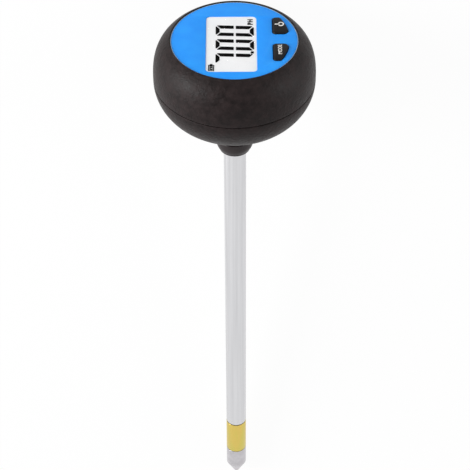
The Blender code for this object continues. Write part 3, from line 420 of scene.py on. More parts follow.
def key_outline(side, grow=0.0):
    """The outline of a key; side is 1 or -1. Every corner is an arc about a centre that stays put."""
    middle = np.array([KEY_ARC_X, 0.0])
    ends = ((KEY_LOW_Y + KEY_NEAR_CORNER, KEY_NEAR_CORNER), (KEY_HIGH_Y - KEY_FAR_CORNER, KEY_FAR_CORNER))
    near, far = (middle + (math.sqrt((KEY_ARC_RADIUS - corner) ** 2 - y**2), y) for y, corner in ends)
    near_turn, far_turn = (math.degrees(math.atan2(*(p - middle)[::-1])) for p in (near, far))
    inner_x, inner = KEY_INNER_X + KEY_INNER_CORNER, KEY_INNER_CORNER + grow
    arcs = [
        arc_points((inner_x, KEY_LOW_Y + KEY_INNER_CORNER), inner, 180.0, 270.0, KEY_CORNER_STEPS),
        arc_points(near, KEY_NEAR_CORNER + grow, -90.0, near_turn, KEY_NEAR_STEPS),
        arc_points(middle, KEY_ARC_RADIUS + grow, near_turn, far_turn, KEY_ARC_STEPS)[1:-1],
        arc_points(far, KEY_FAR_CORNER + grow, far_turn, 90.0, KEY_CORNER_STEPS),
        arc_points((inner_x, KEY_HIGH_Y - KEY_INNER_CORNER), inner, 90.0, 180.0, KEY_CORNER_STEPS),
    ]
    return (np.concatenate(arcs) * (1, side) + (0, KEY_PAIR_Y))[::side]


def box_outline(node, margin, corner, rise=0.0):
    """A function that gives the rounded rectangle round a node, margin outside it and further by the rise
    on its far side, grown as asked."""
    low, high = span(node)
    low, high = low[:2] - margin, high[:2] + (margin, margin + rise)
    return lambda grow: rectangle(low, high, corner, grow)


def key_holes(slit):
    """The outlines of both key openings, a slit wider than the keys all round."""
    return [lambda grow, side=side: key_outline(side, grow + slit) for side in KEY_SIDES.values()]


window_hole = box_outline("display_window", GAP, WINDOW_CORNER, WINDOW_RISE)
print("a key spans", np.ptp(key_outline(1), axis=0).round(5), "m")

# %% The crown, with its deck


def crown():
    """A lathe part from the seat over the rim, down to the groove and back up inside, and a deck with
    straight-sided openings across it."""
    outer = curve_points(HEAD_RADIUS, CROWN_HEIGHT, CROWN_POWER, GAP / 2, rim_height, CURVE_STEPS)
    inner_size = (HEAD_RADIUS - SHELL_WALL, CROWN_HEIGHT - SHELL_WALL)
    inner = curve_points(*inner_size, CROWN_POWER, LAP_HEIGHT + GAP, DECK_BOTTOM, CROWN_INNER_STEPS)
    corners = [(SEAT_RADIUS, DECK_TOP, 0.0), (SEAT_RADIUS, rim_height, RIM_EDGE), (*outer[-1], RIM_EDGE)]
    shoulder = no_rounding(outer[-2:1:-1])
    lap = LAP_RADIUS + GAP
    foot = [(HEAD_RADIUS, GAP / 2, PARTING_EDGE), (lap, GAP / 2, 0.0), (lap, LAP_HEIGHT + GAP, 0.0)]
    points, faces = turned(rounded(np.vstack([corners, shoulder, foot, no_rounding(inner)])))
    ring = np.arange(LATHE_STEPS)
    loops = {DECK_TOP: [ring], DECK_BOTTOM: [ring + len(points) - LATHE_STEPS]}
    parts, first = [points], len(points)
    for opening in (box_outline("lcd_panel", GAP, GAP), *key_holes(GAP)):
        outline = opening(0.0)
        count = len(outline)
        parts += [at_height(outline, DECK_BOTTOM), at_height(outline, DECK_TOP)]
        faces += [wall[::-1] for wall in grid_faces(2, count, first)]
        loops[DECK_BOTTOM].append(np.arange(count) + first)
        loops[DECK_TOP].append(np.arange(count) + first + count)
        first += 2 * count
    points = np.concatenate(parts)
    for height, edges in loops.items():
        faces += flat_faces(points, edges, height == DECK_TOP)
    return points, faces


upper = piece("crown_shell", crown(), ["upper_shell"])

# %% [markdown]
# ## The bowl and its battery well
#
# The lower half is turned in the same way, down to a short neck. On the side that the tester
# lies on, hidden from above, a flat pad holds a coin-slot cap over the button cells. The pad,
# the well and the deep holes of the case screws cross the round wall at odd angles, where the
# grid has no row of points to follow. So they are cut with Boolean modifiers, as a milling
# cutter would, and the modifiers are then applied.

# %% Carve one mesh with others


def baked(holder, *helpers):
    """The points and faces of an object with its modifiers applied. It and its helpers are removed."""
    bpy.context.view_layer.update()
    mesh = bpy.data.meshes.new_from_object(holder.evaluated_get(bpy.context.evaluated_depsgraph_get()))
    for made in (holder, *helpers):
        bpy.data.objects.remove(made, do_unlink=True)
    return points_of(mesh), [list(face.vertices) for face in mesh.polygons]


def carve(name, points, faces, tools):
    """The mesh, joined or cut by each tool in turn: tools are (points, faces, operation)."""
    blank = linked(name + "_blank", mesh_from(name, points, faces))
    cutters = []
    for index, (tool_points, tool_faces, operation) in enumerate(tools):
        tool_name = f"{name}_tool_{index}"
        cutters.append(linked(tool_name, mesh_from(tool_name, tool_points, tool_faces)))
        step = blank.modifiers.new(tool_name, "BOOLEAN")
        step.object, step.operation, step.solver = cutters[-1], operation, "EXACT"
    return baked(blank, *cutters)


# %% The frame of the battery pad
PAD_CUT_RADIUS = 0.012
PAD_CLEAR = 0.0032
MOUTH_WALL = 0.0013
WELL_WALL = 0.0019
WELL_END = 0.0012
LUG_HALF_ANGLE = 15.0
LUG_SLACK_ANGLE = 3.0
LUG_TOP = 0.0042
LUG_THICKNESS = 0.0012
LUG_RADIUS = 0.008
PLUG_RADIUS = 0.0068
PLUG_END = 0.0056
CAP_RADIUS = 0.0084
CAP_THICKNESS = 0.0018
CELL_RADIUS = 0.0058
WELL_DEPTH = 0.02
PLUG_STEPS = 60
CELL_STEPS = 48
ENTRY_STEPS = 6

cap_joint = joints["battery_cap_turn"]
PAD_MIDDLE = AXES @ (np.array(cap_joint["pos_m"]) - ORIGIN)
PAD_OUT = AXES @ np.array(cap_joint["axis"])
PAD_X = np.array([1.0, 0.0, 0.0])
PAD_AXES = np.array([PAD_X, np.cross(PAD_OUT, PAD_X), PAD_OUT])
CAP_TURN = cap_joint["range_deg"][1]


def on_pad(points):
    """Points drawn on the pad, whose z axis leaves the bowl, put on the tester's axes."""
    return PAD_MIDDLE + np.asarray(points) @ PAD_AXES


def disc(radius, bottom, top, steps=64):
    """A plain round tool between two heights."""
    return turned([(0, bottom), (radius, bottom), (radius, top), (0, top)], steps=steps)


def sector(inner, outer, start, end, steps=12):
    """The outline of a stretch of a flat ring, between two radii and two angles."""
    out, back = arc_points((0, 0), outer, start, end, steps), arc_points((0, 0), inner, end, start, steps)
    return np.concatenate([out, back])


def pad_tool(shape, operation="DIFFERENCE"):
    """A tool drawn on the pad."""
    points, faces = shape
    return on_pad(points), faces, operation


print("the pad leans", round(math.degrees(math.acos(PAD_OUT[2])), 1), "degrees from the axis")

# %% The bowl
CASE_SCREWS = 4
CASE_HEAD_HOLE = 0.0026
CASE_SHANK_HOLE = 0.0016
CASE_SEAT = -0.005
SHANK_STEPS = 24
SCREW_HEAD_STEPS = 40
tube_low, tube_high = span("probe_tube")
BORE_RADIUS = tube_high[0] + GAP


def bowl_profile():
    """The tongue, the outer curve, the neck, the bore of the tube and the inside, all round."""
    neck = curve_height(NECK_RADIUS / HEAD_RADIUS, BOWL_DEPTH, BOWL_POWER)
    outer = curve_points(HEAD_RADIUS, BOWL_DEPTH, BOWL_POWER, GAP / 2, neck, CURVE_STEPS) * (1, -1)
    inner_radius, inner_depth = HEAD_RADIUS - SHELL_WALL, BOWL_DEPTH - SHELL_WALL
    seat = span("tube_nut")[0][2] - GAP
    inner = curve_points(inner_radius, inner_depth, BOWL_POWER, 0.0, -seat, BOWL_INNER_STEPS)[::-1] * (1, -1)
    corners = [
        [(LAP_RADIUS, LAP_HEIGHT, 0.0), (LAP_RADIUS, -GAP / 2, 0.0), (HEAD_RADIUS, -GAP / 2, PARTING_EDGE)],
        no_rounding(outer[2:-2]),
        [(*outer[-1], NECK_FILLET), (NECK_RADIUS, NECK_END, GAP)],
        [(BORE_RADIUS, NECK_END, 0.0), (BORE_RADIUS, seat, 0.0)],
        no_rounding(inner),
        [(inner_radius, LAP_HEIGHT, 0.0)],
    ]
    return rounded(np.vstack(corners), closed=True)


def bowl_tools():
    """The bosses that are joined on, and then the cuts of the pad, the well, the tracks and the screws."""
    mouth_outer = LUG_RADIUS + GAP + MOUTH_WALL
    well_outer = CELL_RADIUS + GAP + WELL_WALL
    tools = [
        pad_tool(disc(mouth_outer, -PLUG_END - GAP - WELL_END, -3 * GAP), "UNION"),
        pad_tool(disc(well_outer, -WELL_DEPTH - WELL_END, -CAP_THICKNESS - GAP), "UNION"),
        pad_tool(disc(PAD_CUT_RADIUS, 0.0, PAD_CLEAR)),
        pad_tool(disc(CAP_RADIUS + GAP, -CAP_THICKNESS - GAP, PAD_CLEAR / 2)),
        pad_tool(disc(PLUG_RADIUS + GAP, -PLUG_END - GAP, PAD_CLEAR / 2, PLUG_STEPS)),
        pad_tool(disc(CELL_RADIUS + GAP, -WELL_DEPTH, PAD_CLEAR / 2, CELL_STEPS)),
    ]
    slack = LUG_HALF_ANGLE + LUG_SLACK_ANGLE
    entry_slack = LUG_HALF_ANGLE + LUG_SLACK_ANGLE * 2 / 3
    for start in (0.0, 180.0):
        track = sector(CELL_RADIUS, LUG_RADIUS + GAP, start - slack, start + CAP_TURN + slack)
        tools.append(pad_tool(prism(track, -LUG_TOP - LUG_THICKNESS - GAP, -LUG_TOP + GAP)))
        turn = start + CAP_TURN
        entry_ends = (turn - entry_slack, turn + entry_slack)
        entry = sector(CELL_RADIUS, LUG_RADIUS + GAP * 2 / 3, *entry_ends, ENTRY_STEPS)
        tools.append(pad_tool(prism(entry, -LUG_TOP - LUG_THICKNESS / 2, PAD_CLEAR / 2)))
    shank_hole = disc(CASE_SHANK_HOLE, CASE_SEAT - 2 * GAP, SHELL_WALL, SHANK_STEPS)
    screw_holes = [shank_hole, disc(CASE_HEAD_HOLE, -BOWL_DEPTH, CASE_SEAT, SCREW_HEAD_STEPS)]
    for index in range(CASE_SCREWS):
        screw_axis = sum(span(f"case_screw_{index + 1}")) / 2 * (1, 1, 0)
        tools += [(points + screw_axis, faces, "DIFFERENCE") for points, faces in screw_holes]
    return tools


bowl = carve("bowl", *turned(bowl_profile(), closed=True), bowl_tools())
lower = piece("bowl_shell", bowl, ["lower_shell"])

# %% [markdown]
# ## The battery cap
#
# The cap is a plain disc with a slot for a coin, a plug that goes into the well and two lugs
# that lock under the tracks of the mouth. Most of it is a lathe shape. The slot and the lugs
# aren't round, so they are cut and joined as in the bowl. The cap turns through sixty degrees on
# its own joint, so it is a piece of its own that rides on its own body.

# %% The battery cap
CAP_EDGE = 0.00045
COIN_SLOT_LENGTH = 0.012
COIN_SLOT_WIDTH = 0.0016
COIN_SLOT_DEPTH = 0.001
SLOT_END_ROUND = 0.49  # share of the width
SEAL_GROOVE_RADIUS = 0.0056
SEAL_GROOVE_WIDTH = 0.0009
CONTACT_RECESS = 0.0007


def battery_cap():
    """A lathe shape with a coin slot cut across it and a lug joined on either side."""
    groove_end = -CAP_THICKNESS - 2 * GAP - SEAL_GROOVE_WIDTH
    recess = CONTACT_RECESS - PLUG_END
    steps = [(CAP_RADIUS, -CAP_THICKNESS), (SEAL_GROOVE_RADIUS, -CAP_THICKNESS)]
    steps += [(SEAL_GROOVE_RADIUS, groove_end), (PLUG_RADIUS, groove_end), (PLUG_RADIUS, -PLUG_END)]
    steps += [(CELL_RADIUS, -PLUG_END), (CELL_RADIUS, recess), (0.0, recess)]
    corners = [(0.0, 0.0, 0.0), (CAP_RADIUS, 0.0, CAP_EDGE), *no_rounding(steps)]
    points, faces = turned(rounded(corners), steps=PROBE_STEPS)
    half = np.array([COIN_SLOT_LENGTH, COIN_SLOT_WIDTH]) / 2
    slot = rectangle(-half, half, COIN_SLOT_WIDTH * SLOT_END_ROUND)
    tools = [(*prism(slot, -COIN_SLOT_DEPTH, CAP_THICKNESS), "DIFFERENCE")]
    for start in (0.0, 180.0):
        lug = sector(CELL_RADIUS + WELL_WALL / 4, LUG_RADIUS, start - LUG_HALF_ANGLE, start + LUG_HALF_ANGLE)
        tools.append((*prism(lug, -LUG_TOP - LUG_THICKNESS, -LUG_TOP), "UNION"))
    points, faces = carve("cap", points, faces, tools)
    return on_pad(points), faces


cap = piece("coin_slot_cap", battery_cap(), ["battery_cap"], "battery_cap")

# %% [markdown]
# ## The face plate and the window
#
# The face is a thin azure disc that sits a little below the rim, with rounded edges. Round it
# runs a hair-thin pale ring, a painted highlight for the light that the edge of the face
# catches. The highlight could be painted on the face, but as a ring of its own it stays crisp
# from close by. The window is a thin clear pane, flush with the face.

# %% Face plate and window
FACE_EDGE = 0.00022
PANE_EDGE = 0.00012
FACE_RADIUS = face_high[1]


def face_outline(grow):
    """The round edge of the face."""
    return arc_points((0, 0), FACE_RADIUS + grow, 0, 360, LATHE_STEPS)[:-1]


face_holes = [window_hole, *key_holes(KEY_SLIT)]
face_shape = slab(face_outline, face_low[2], face_high[2], FACE_EDGE, face_holes)
face = piece("face_disc", face_shape, ["face_plate"])

# A pale ring round the face, drawn as a piece of its own: a painted highlight for the light that the face's
# rounded edge catches.
EDGE_HIGHLIGHT_WIDTH = 0.00024
EDGE_HIGHLIGHT_ROUND, EDGE_HIGHLIGHT_LIP = 0.00003, 0.00008
highlight_inner, highlight_outer = FACE_RADIUS + WINDOW_SLIT / 2, FACE_RADIUS + EDGE_HIGHLIGHT_WIDTH
highlight_top, highlight_bottom = face_high[2] - WINDOW_SLIT, face_low[2] + GAP
highlight_corners = [(highlight_inner, highlight_top, EDGE_HIGHLIGHT_ROUND), (highlight_outer, highlight_top, EDGE_HIGHLIGHT_LIP)]
highlight_corners += [(x, highlight_bottom, EDGE_HIGHLIGHT_ROUND) for x in (highlight_outer, highlight_inner)]
highlight_shape = turned(rounded(highlight_corners, closed=True), closed=True)
edge_highlight = piece("face_edge_highlight", highlight_shape)

PANE_THICKNESS = 0.00015
pane_outline = box_outline("display_window", 0.0, WINDOW_CORNER - GAP)
pane_top = span("display_window")[1][2]
pane_shape = slab(pane_outline, pane_top - PANE_THICKNESS, pane_top, PANE_EDGE)
pane = piece("window_pane", pane_shape, ["display_window"])

# %% [markdown]
# ## The display
#
# The pale glass stands in the window, right behind the pane. It shows 7.00 with its unit, and a
# little sign for the cells in a corner. The real digits have seven segments each, cut off aslant
# where two of them meet, with a hair of light between them. A picture of them would blur from
# close by, so each lit segment is a thin plate. It is drawn upright, as one reads it, and then
# turned a quarter, because the display is read from the side of the face.

# %% Sizes of the display
PRINT_THICKNESS = 0.00006
PRINT_SHARP_ANGLE = 20
PRINT_STEPS = 3
FILM_DROP = 0.0001
FILM_EDGE = 0.00005
DIGIT_HEIGHT = 0.01485
DIGIT_WIDTH = 0.0067
DIGIT_PITCH = 0.0089
DIGIT_STROKE = 0.002
DIGIT_CROSS_STROKE = 0.00155
MITRE_GAP = 0.00034
MIDDLE_GAP = 0.00042
SEGMENT_ROUND = 0.12  # share of the stroke
DIGIT_SLANT = 0.05
FIRST_DIGIT = (0.0076, -0.01546)
POINT_PLACE = np.array([0.00686, -0.00774])
POINT_SIZE = np.array([0.00125, 0.00135])
UNIT_LOW, UNIT_SIZE = (0.00725, 0.01), (0.0036, 0.00208)
CELL_SIGN_LOW, CELL_SIGN_SIZE = (-0.00776, -0.01915), (0.0043, 0.00225)
CELL_SIGN_BODY = 0.88  # share of the width, and the nub takes the rest
CELL_SIGN_NUB = (0.28, 0.72)  # shares of the height
CELL_SIGN_BARS = 3
CELL_SIGN_POSTS = 1.05  # where the upright lines start, in widths of a line
CELL_SIGN_INSIDE = 1.4  # where the bars start, in the same widths
CELL_SIGN_SPACE = 0.6  # the space beside a bar, in the same widths
CELL_SIGN_STEPS = 2
FILM_TOP = pane_top - PANE_THICKNESS - FILM_DROP
film_outline = box_outline("display_window", GAP - WINDOW_SLIT, WINDOW_CORNER - WINDOW_SLIT, WINDOW_RISE)
print("digits", DIGIT_HEIGHT, "m high and", DIGIT_PITCH, "m apart")

# %% Digits and the sign for the cells


def as_read(points, place):
    """Turns a drawing as it is read (right, up) a quarter, and puts its lower left corner at the place.
    Heights above the drawing stay as they are."""
    points = np.asarray(points, float)
    return np.column_stack([place[0] - points[:, 1], place[1] + points[:, 0], points[:, 2:]])


def segments(lit):
    """The outlines of the lit segments of one digit, without the middle one, which 7.00 doesn't light. Each
    has its outer side on the digit's edge, and an inner side that is shorter by a stroke at a mitred end."""
    w, h, s, c, g = DIGIT_WIDTH, DIGIT_HEIGHT, DIGIT_STROKE, DIGIT_CROSS_STROKE, MITRE_GAP
    foot = h / 2 + MIDDLE_GAP
    top = np.array([(g, h), (s + g, h - c), (w - s - g, h - c), (w - g, h)])
    side = np.array([(0, h - g), (0, foot), (s, foot), (s, h - c - g)])
    shapes = {"a": top, "b": side * (-1, 1) + (w, 0), "c": side * (-1, -1) + (w, h)}
    shapes |= {"d": top * (1, -1) + (0, h), "e": side * (1, -1) + (0, h), "f": side}
    size = np.full((len(side), 1), s * SEGMENT_ROUND)
    return [rounded(np.hstack([shapes[name], size]), closed=True, steps=PRINT_STEPS) for name in lit]


def stamped(outlines, bottom, top):
    """Several flat outlines as one mesh of thin prisms."""
    points, faces, first = [], [], 0
    for outline in outlines:
        more, quads = prism(outline, bottom, top)
        points.append(more)
        faces += [[index + first for index in face] for face in quads]
        first += len(more)
    return np.concatenate(points), faces


def display_outlines():
    """The outlines of 7.00: three digits a pitch apart, and the point between the first two."""
    outlines = []
    slant = np.array([(1.0, 0.0), (DIGIT_SLANT, 1.0)])
    for index, lit in enumerate(("abc", "abcdef", "abcdef")):
        place = (FIRST_DIGIT[0], FIRST_DIGIT[1] + index * DIGIT_PITCH)
        outlines += [as_read(shape @ slant, place) for shape in segments(lit)]
    low, high = POINT_PLACE - POINT_SIZE / 2, POINT_PLACE + POINT_SIZE / 2
    return [*outlines, rectangle(low, high, POINT_SIZE[0] / 5, steps=PRINT_STEPS)]


def cell_sign():
    """A battery sign: a frame of four lines, a nub and three bars, drawn as they are read."""
    w, h = CELL_SIGN_SIZE
    line, body = h / 6, w * CELL_SIGN_BODY
    near, far = line * CELL_SIGN_POSTS, line * CELL_SIGN_INSIDE
    pitch = (body - 2 * line) / CELL_SIGN_BARS
    nub_low, nub_high = (h * share for share in CELL_SIGN_NUB)
    corners = [((0, 0), (body, line)), ((0, h - line), (body, h))]
    corners += [((x, near), (x + line, h - near)) for x in (0, body - line)]
    corners += [((body + line / 4, nub_low), (w, nub_high))]
    starts = [line + bar * pitch for bar in range(CELL_SIGN_BARS)]
    corners += [((x + line * CELL_SIGN_SPACE, far), (x + pitch, h - far)) for x in starts]
    bars = [rectangle(low, high, line / 3, steps=CELL_SIGN_STEPS) for low, high in corners]
    return [as_read(bar, CELL_SIGN_LOW) for bar in bars]


print("the display shows", len(display_outlines()), "dark shapes, and its sign has", len(cell_sign()))

# %% Build the display


def display_stack():
    """The panel under the deck, and on it the front glass that stands in the window: rings up the wall
    of the one, in to the other and up again, closed by a flat top and bottom."""
    panel = box_outline("lcd_panel", 0.0, GAP)
    rings = [(panel, 0.0, span("lcd_panel")[0][2]), (panel, 0.0, DECK_TOP), (film_outline, 0.0, DECK_TOP)]
    rings += [(film_outline, 0.0, FILM_TOP - FILM_EDGE), (film_outline, -FILM_EDGE, FILM_TOP)]
    return stack([at_height(outline(grow), height) for outline, grow, height in rings])


def printed(name, shape, body="meter"):
    """A piece of print. Its angle for sharp edges is small, so its top stays flat."""
    return piece(name, shape, body=body, sharp=PRINT_SHARP_ANGLE)


glass = piece("display_glass", display_stack(), ["lcd_panel"])
ink_bottom = FILM_TOP + PRINT_THICKNESS / 4
ink_top = ink_bottom + PRINT_THICKNESS
digits = printed("display_digits", stamped(display_outlines(), ink_bottom, ink_top))
sign = printed("cell_sign", stamped(cell_sign(), ink_bottom, ink_top))

# %% [markdown]
# ## Lettering
#
# The unit and the word on a key are short, printed words. They could be a picture laid on the
# plastic, but a mesh stays crisp from close by. They come from Blender's built-in font: a text
# curve is turned into a mesh, its points are taken as an array, scaled to the size measured on
# the object, and laid where they belong.

# %% Words as meshes
LETTER_DEPTH = 0.05
LETTER_STEPS = 6
LETTER_SPACING = 4  # added space between letters, in weights
UNIT_WEIGHT = 0.05
WORD_WEIGHT = 0.0


def word(text, size, thickness, weight):
    """The points and faces of a word that fills a box of the given width and height. The weight, a share of
    the letters' size, is added all round each stroke."""
    curve = bpy.data.curves.new("word", "FONT")
    curve.body = text
    curve.extrude = LETTER_DEPTH
    curve.offset = weight
    curve.space_character = 1.0 + LETTER_SPACING * weight
    curve.resolution_u = LETTER_STEPS
    points, faces = baked(linked("word", curve))
    low, high = points.min(0), points.max(0)
    return (points - low) / (high - low) * (*size, thickness), faces


points, faces = word("PH", UNIT_SIZE, PRINT_THICKNESS, UNIT_WEIGHT)
unit = printed("unit_sign", (as_read(points, UNIT_LOW) + (0, 0, ink_bottom), faces))

# %% [markdown]
# ## The keys
#
# Each key is a rubbery cap with a flange that keeps it under the deck. Its top is slightly
# domed: a paraboloid, so that the height falls with the square of the distance from the middle.
# The edge between the dome and the wall is a quarter round. Subdivision Surface could give such
# a pillow, but it would also soften the outline, which has to fit its hole. The signs are
# printed on the dome, so their points take their height from the same formula.

# %% Key caps
KEY_ROUND = 0.00075
KEY_DOME = 0.00035
KEY_FLANGE = 0.0007
FLANGE_THICKNESS = 0.0008
KEY_SHARP_ANGLE = 50
DOME_RINGS = 8
DECK_UNDER = DECK_BOTTOM - GAP
FLANGE_UNDER = DECK_UNDER - FLANGE_THICKNESS


def key_middle(side):
    """The middle of a key's top."""
    outline = key_outline(side)
    return (outline.min(0) + outline.max(0)) / 2


def dome_height(points, side, top):
    """The height of the dome: top - KEY_DOME (distance from the middle / half the key's width) ** 2."""
    half_width = np.ptp(key_outline(side), axis=0).max() / 2
    return top - KEY_DOME * (((points[:, :2] - key_middle(side)) / half_width) ** 2).sum(1)


def key_cap(side, top):
    """Rings from the pole under the flange, out, up the wall, over the round and in to the dome's pole."""
    middle = key_middle(side)
    base, flange = key_outline(side), key_outline(side, KEY_FLANGE)
    pole = np.tile(middle, (len(base), 1))
    rings = [at_height(pole, FLANGE_UNDER), at_height(flange, FLANGE_UNDER)]
    rings += [at_height(flange, DECK_UNDER), at_height(base, DECK_UNDER)]
    for a in np.linspace(0, math.pi / 2, ROUND_STEPS + 2):
        ring = key_outline(side, -KEY_ROUND * (1 - math.cos(a)))
        rings.append(at_height(ring, dome_height(ring, side, top) - KEY_ROUND * (1 - math.sin(a))))
    edge = key_outline(side, -KEY_ROUND)
    for share in np.linspace(1, 0, DOME_RINGS + 1)[1:]:
        ring = middle + (edge - middle) * share
        rings.append(at_height(ring, dome_height(ring, side, top)))
    return np.concatenate(rings), grid_faces(len(rings), len(base))


key_tops = {name: span(name + "_button")[1][2] for name in KEY_SIDES}
keys = {}
for name, side in KEY_SIDES.items():
    shape, replaces = key_cap(side, key_tops[name]), [name + "_button"]
    keys[name] = piece(name + "_key_cap", shape, replaces, name + "_key", KEY_SHARP_ANGLE)

# %% Signs printed on the keys
POWER_PLACE = (0.01815, 0.00895)
WORD_PLACE = (0.01755, -0.00715)
WORD_SIZE = (0.006, 0.00155)
POWER_RADIUS = 0.00128
POWER_LINE = 0.00044
POWER_OPEN_ANGLE = 42.0
POWER_BAR = (0.3, 1.85)  # shares of the ring's radius
POWER_BAR_ROUND = 0.45  # share of the bar's width
POWER_STEPS = 32


def on_dome(points, name):
    """Lays a thin print on the dome of a key: each point keeps its own height above the formula's."""
    lifted = points.copy()
    lifted[:, 2] += dome_height(points, KEY_SIDES[name], key_tops[name])
    return lifted


def power_outlines():
    """A ring that is open at the top, and a bar through the opening, drawn as they are read."""
    start, end = 90.0 + POWER_OPEN_ANGLE, 450.0 - POWER_OPEN_ANGLE
    ring = sector(POWER_RADIUS - POWER_LINE, POWER_RADIUS, start, end, POWER_STEPS)
    bar_low, bar_high = (POWER_RADIUS * share for share in POWER_BAR)
    low, high = (-POWER_LINE / 2, bar_low), (POWER_LINE / 2, bar_high)
    bar = rectangle(low, high, POWER_LINE * POWER_BAR_ROUND, steps=PRINT_STEPS)
    return [as_read(shape, POWER_PLACE) for shape in (ring, bar)]


points, faces = stamped(power_outlines(), -PRINT_THICKNESS, PRINT_THICKNESS)
power_sign = printed("power_sign", (on_dome(points, "power"), faces), "power_key")
points, faces = word("MODE", WORD_SIZE, 2 * PRINT_THICKNESS, WORD_WEIGHT)
points = as_read(points - np.array([*WORD_SIZE, 2 * PRINT_THICKNESS]) / 2, WORD_PLACE)
mode_sign = printed("mode_word", (on_dome(points, "mode"), faces), "mode_key")

# %% [markdown]
# ## The collar and the probe
#
# Under the neck a collar closes on the tube with a seal: a short cylinder that draws in to the
# tube on a curve and ends in a narrow upright lip. The tube and the brass ring end in nearly
# sharp edges, and the point is a cone with a tiny round nose. They could start from Blender's
# cylinders and cones, but as profiles carried round one axis they have true edges and fit each
# other.

# %% Sizes of the probe
COLLAR_SHOULDER = -0.0323
COLLAR_LIP = 0.005
COLLAR_LIP_HEIGHT = 0.0005
COLLAR_CURVE = 1.02
COLLAR_EDGE = 0.00035
COLLAR_STEPS = 24
TUBE_WALL = 0.0006
TUBE_CHAMFER = 0.00015
RING_EDGE = 0.00004
TIP_CONE = 0.0091
TIP_NOSE = 0.0003
TIP_NOSE_STEPS = 10
TIP_NOSE_LIFT = 1.01  # nose radii between the end of the CAD tip and the middle of the nose
TIP_SHOULDER_ROUND = 0.0002
ROD_HOLE = 0.0016
seal_low, seal_high = span("tube_seal")
ring_low, ring_high = span("ring_electrode")
tip_low, tip_high = span("tip_electrode")
TUBE_RADIUS = tube_high[1]
print(f"tube {TUBE_RADIUS * 2000:.2f} mm wide, tip {(tip_high - tip_low)[2] * 1000:.2f} mm long")

# %% Profiles of the collar, the tube and the tip


def collar_profile():
    """Round the collar: its top, the shoulder, the curve, the lip, the bore and the seat of the seal. The
    curve is an ellipse whose cosine and sine are raised to the power COLLAR_CURVE."""
    angle = np.linspace(0, math.pi / 2, COLLAR_STEPS)[1:-2]
    drop = COLLAR_SHOULDER - collar_low[2]
    across = (NECK_RADIUS - COLLAR_LIP) * np.cos(angle) ** COLLAR_CURVE
    curve = np.stack([COLLAR_LIP + across, COLLAR_SHOULDER - drop * np.sin(angle) ** COLLAR_CURVE], -1)
    curve = curve[curve[:, 1] > collar_low[2] + COLLAR_LIP_HEIGHT]
    lip_radius = curve[-1, 0]
    seat_outer, seat_floor = seal_high[0] + GAP, seal_low[2] - GAP
    corners = [
        [(seat_outer, collar_high[2], 0.0), (NECK_RADIUS, collar_high[2], COLLAR_EDGE)],
        [(NECK_RADIUS, COLLAR_SHOULDER, 0.0)],
        no_rounding(curve),
        [(lip_radius, collar_low[2], COLLAR_LIP_HEIGHT / 3), (BORE_RADIUS, collar_low[2], 0.0)],
        [(BORE_RADIUS, seat_floor, 0.0), (seat_outer, seat_floor, 0.0)],
    ]
    return rounded(np.vstack(corners), closed=True)


def pipe_profile(low, high, low_edge, high_edge):
    """A length of the tube: its wall, with the rounding of the outer edge at each end."""
    inner = TUBE_RADIUS - TUBE_WALL
    outside = [(TUBE_RADIUS, high, high_edge), (TUBE_RADIUS, low, low_edge)]
    return rounded([*outside, (inner, low, 0.0), (inner, high, 0.0)], closed=True)


def tip_profile():
    """From the bottom of the rod's hole, round the shoulder and down the cone to a round nose."""
    shoulder = tip_low[2] + TIP_CONE
    half = math.atan(TUBE_RADIUS / TIP_CONE)
    nose_middle = tip_low[2] + TIP_NOSE_LIFT * TIP_NOSE
    angle = np.linspace(-half, -math.pi / 2, TIP_NOSE_STEPS)
    nose = np.stack([TIP_NOSE * np.cos(angle), nose_middle + TIP_NOSE * np.sin(angle)], -1)
    nose[-1, 0] = 0.0
    hole_end = span("centre_rod")[0][2] - GAP
    corners = [
        [(0.0, hole_end, 0.0), (ROD_HOLE, hole_end, 0.0), (ROD_HOLE, tip_high[2], 0.0)],
        [(TUBE_RADIUS, tip_high[2], RING_EDGE), (TUBE_RADIUS, shoulder, TIP_SHOULDER_ROUND)],
        no_rounding(nose),
    ]
    return rounded(np.vstack(corners))


print("profiles: collar", len(collar_profile()), "points, tip", len(tip_profile()), "points")

# %% Build the collar and the probe


def probe_piece(name, profile, replaces, closed=True):
    """A turned piece of the probe."""
    return piece(name, turned(profile, closed, PROBE_STEPS), [replaces])


tube_profile = pipe_profile(tube_low[2], tube_high[2], TUBE_CHAMFER, 0.0)
ring_profile = pipe_profile(ring_low[2], ring_high[2], RING_EDGE, RING_EDGE)
collar = probe_piece("neck_collar", collar_profile(), "collar_nut")
tube = probe_piece("tube_wall", tube_profile, "probe_tube")
brass_ring = probe_piece("brass_ring", ring_profile, "ring_electrode")
point = probe_piece("probe_point", tip_profile(), "tip_electrode", closed=False)

# %% [markdown]
# ## Finishes
#
# A finish is a node material. No real surface is quite even: paint has a grain, and metal has
# the lines of the tool. Pictures could be wrapped round the pieces for that, but noise needs no
# picture and no unwrapping. It is laid out on the tester's own axes: a Mapping node set to
# Texture takes the tester's place and tilt away and divides by the size of one patch. So sizes
# can be written in metres, and a long, thin patch makes the lines that turning or drawing leaves
# on metal. Numbers that are the same all over are set on the shader's own sockets.

# %% Noise in metres
TESTER_TURN = Matrix(AXES.T.tolist()).to_euler()
CLOUD_DETAIL, CLOUD_ROUGHNESS = 4.0, 0.6
GRAIN_DETAIL, GRAIN_ROUGHNESS = 2.0, 0.5
NOISE_RANGE = (0.35, 0.65)


def with_inputs(node, **values):
    """A shader node with some of its inputs set."""
    for socket, value in values.items():
        node.inputs[socket.replace("_", " ")].default_value = value
    return node


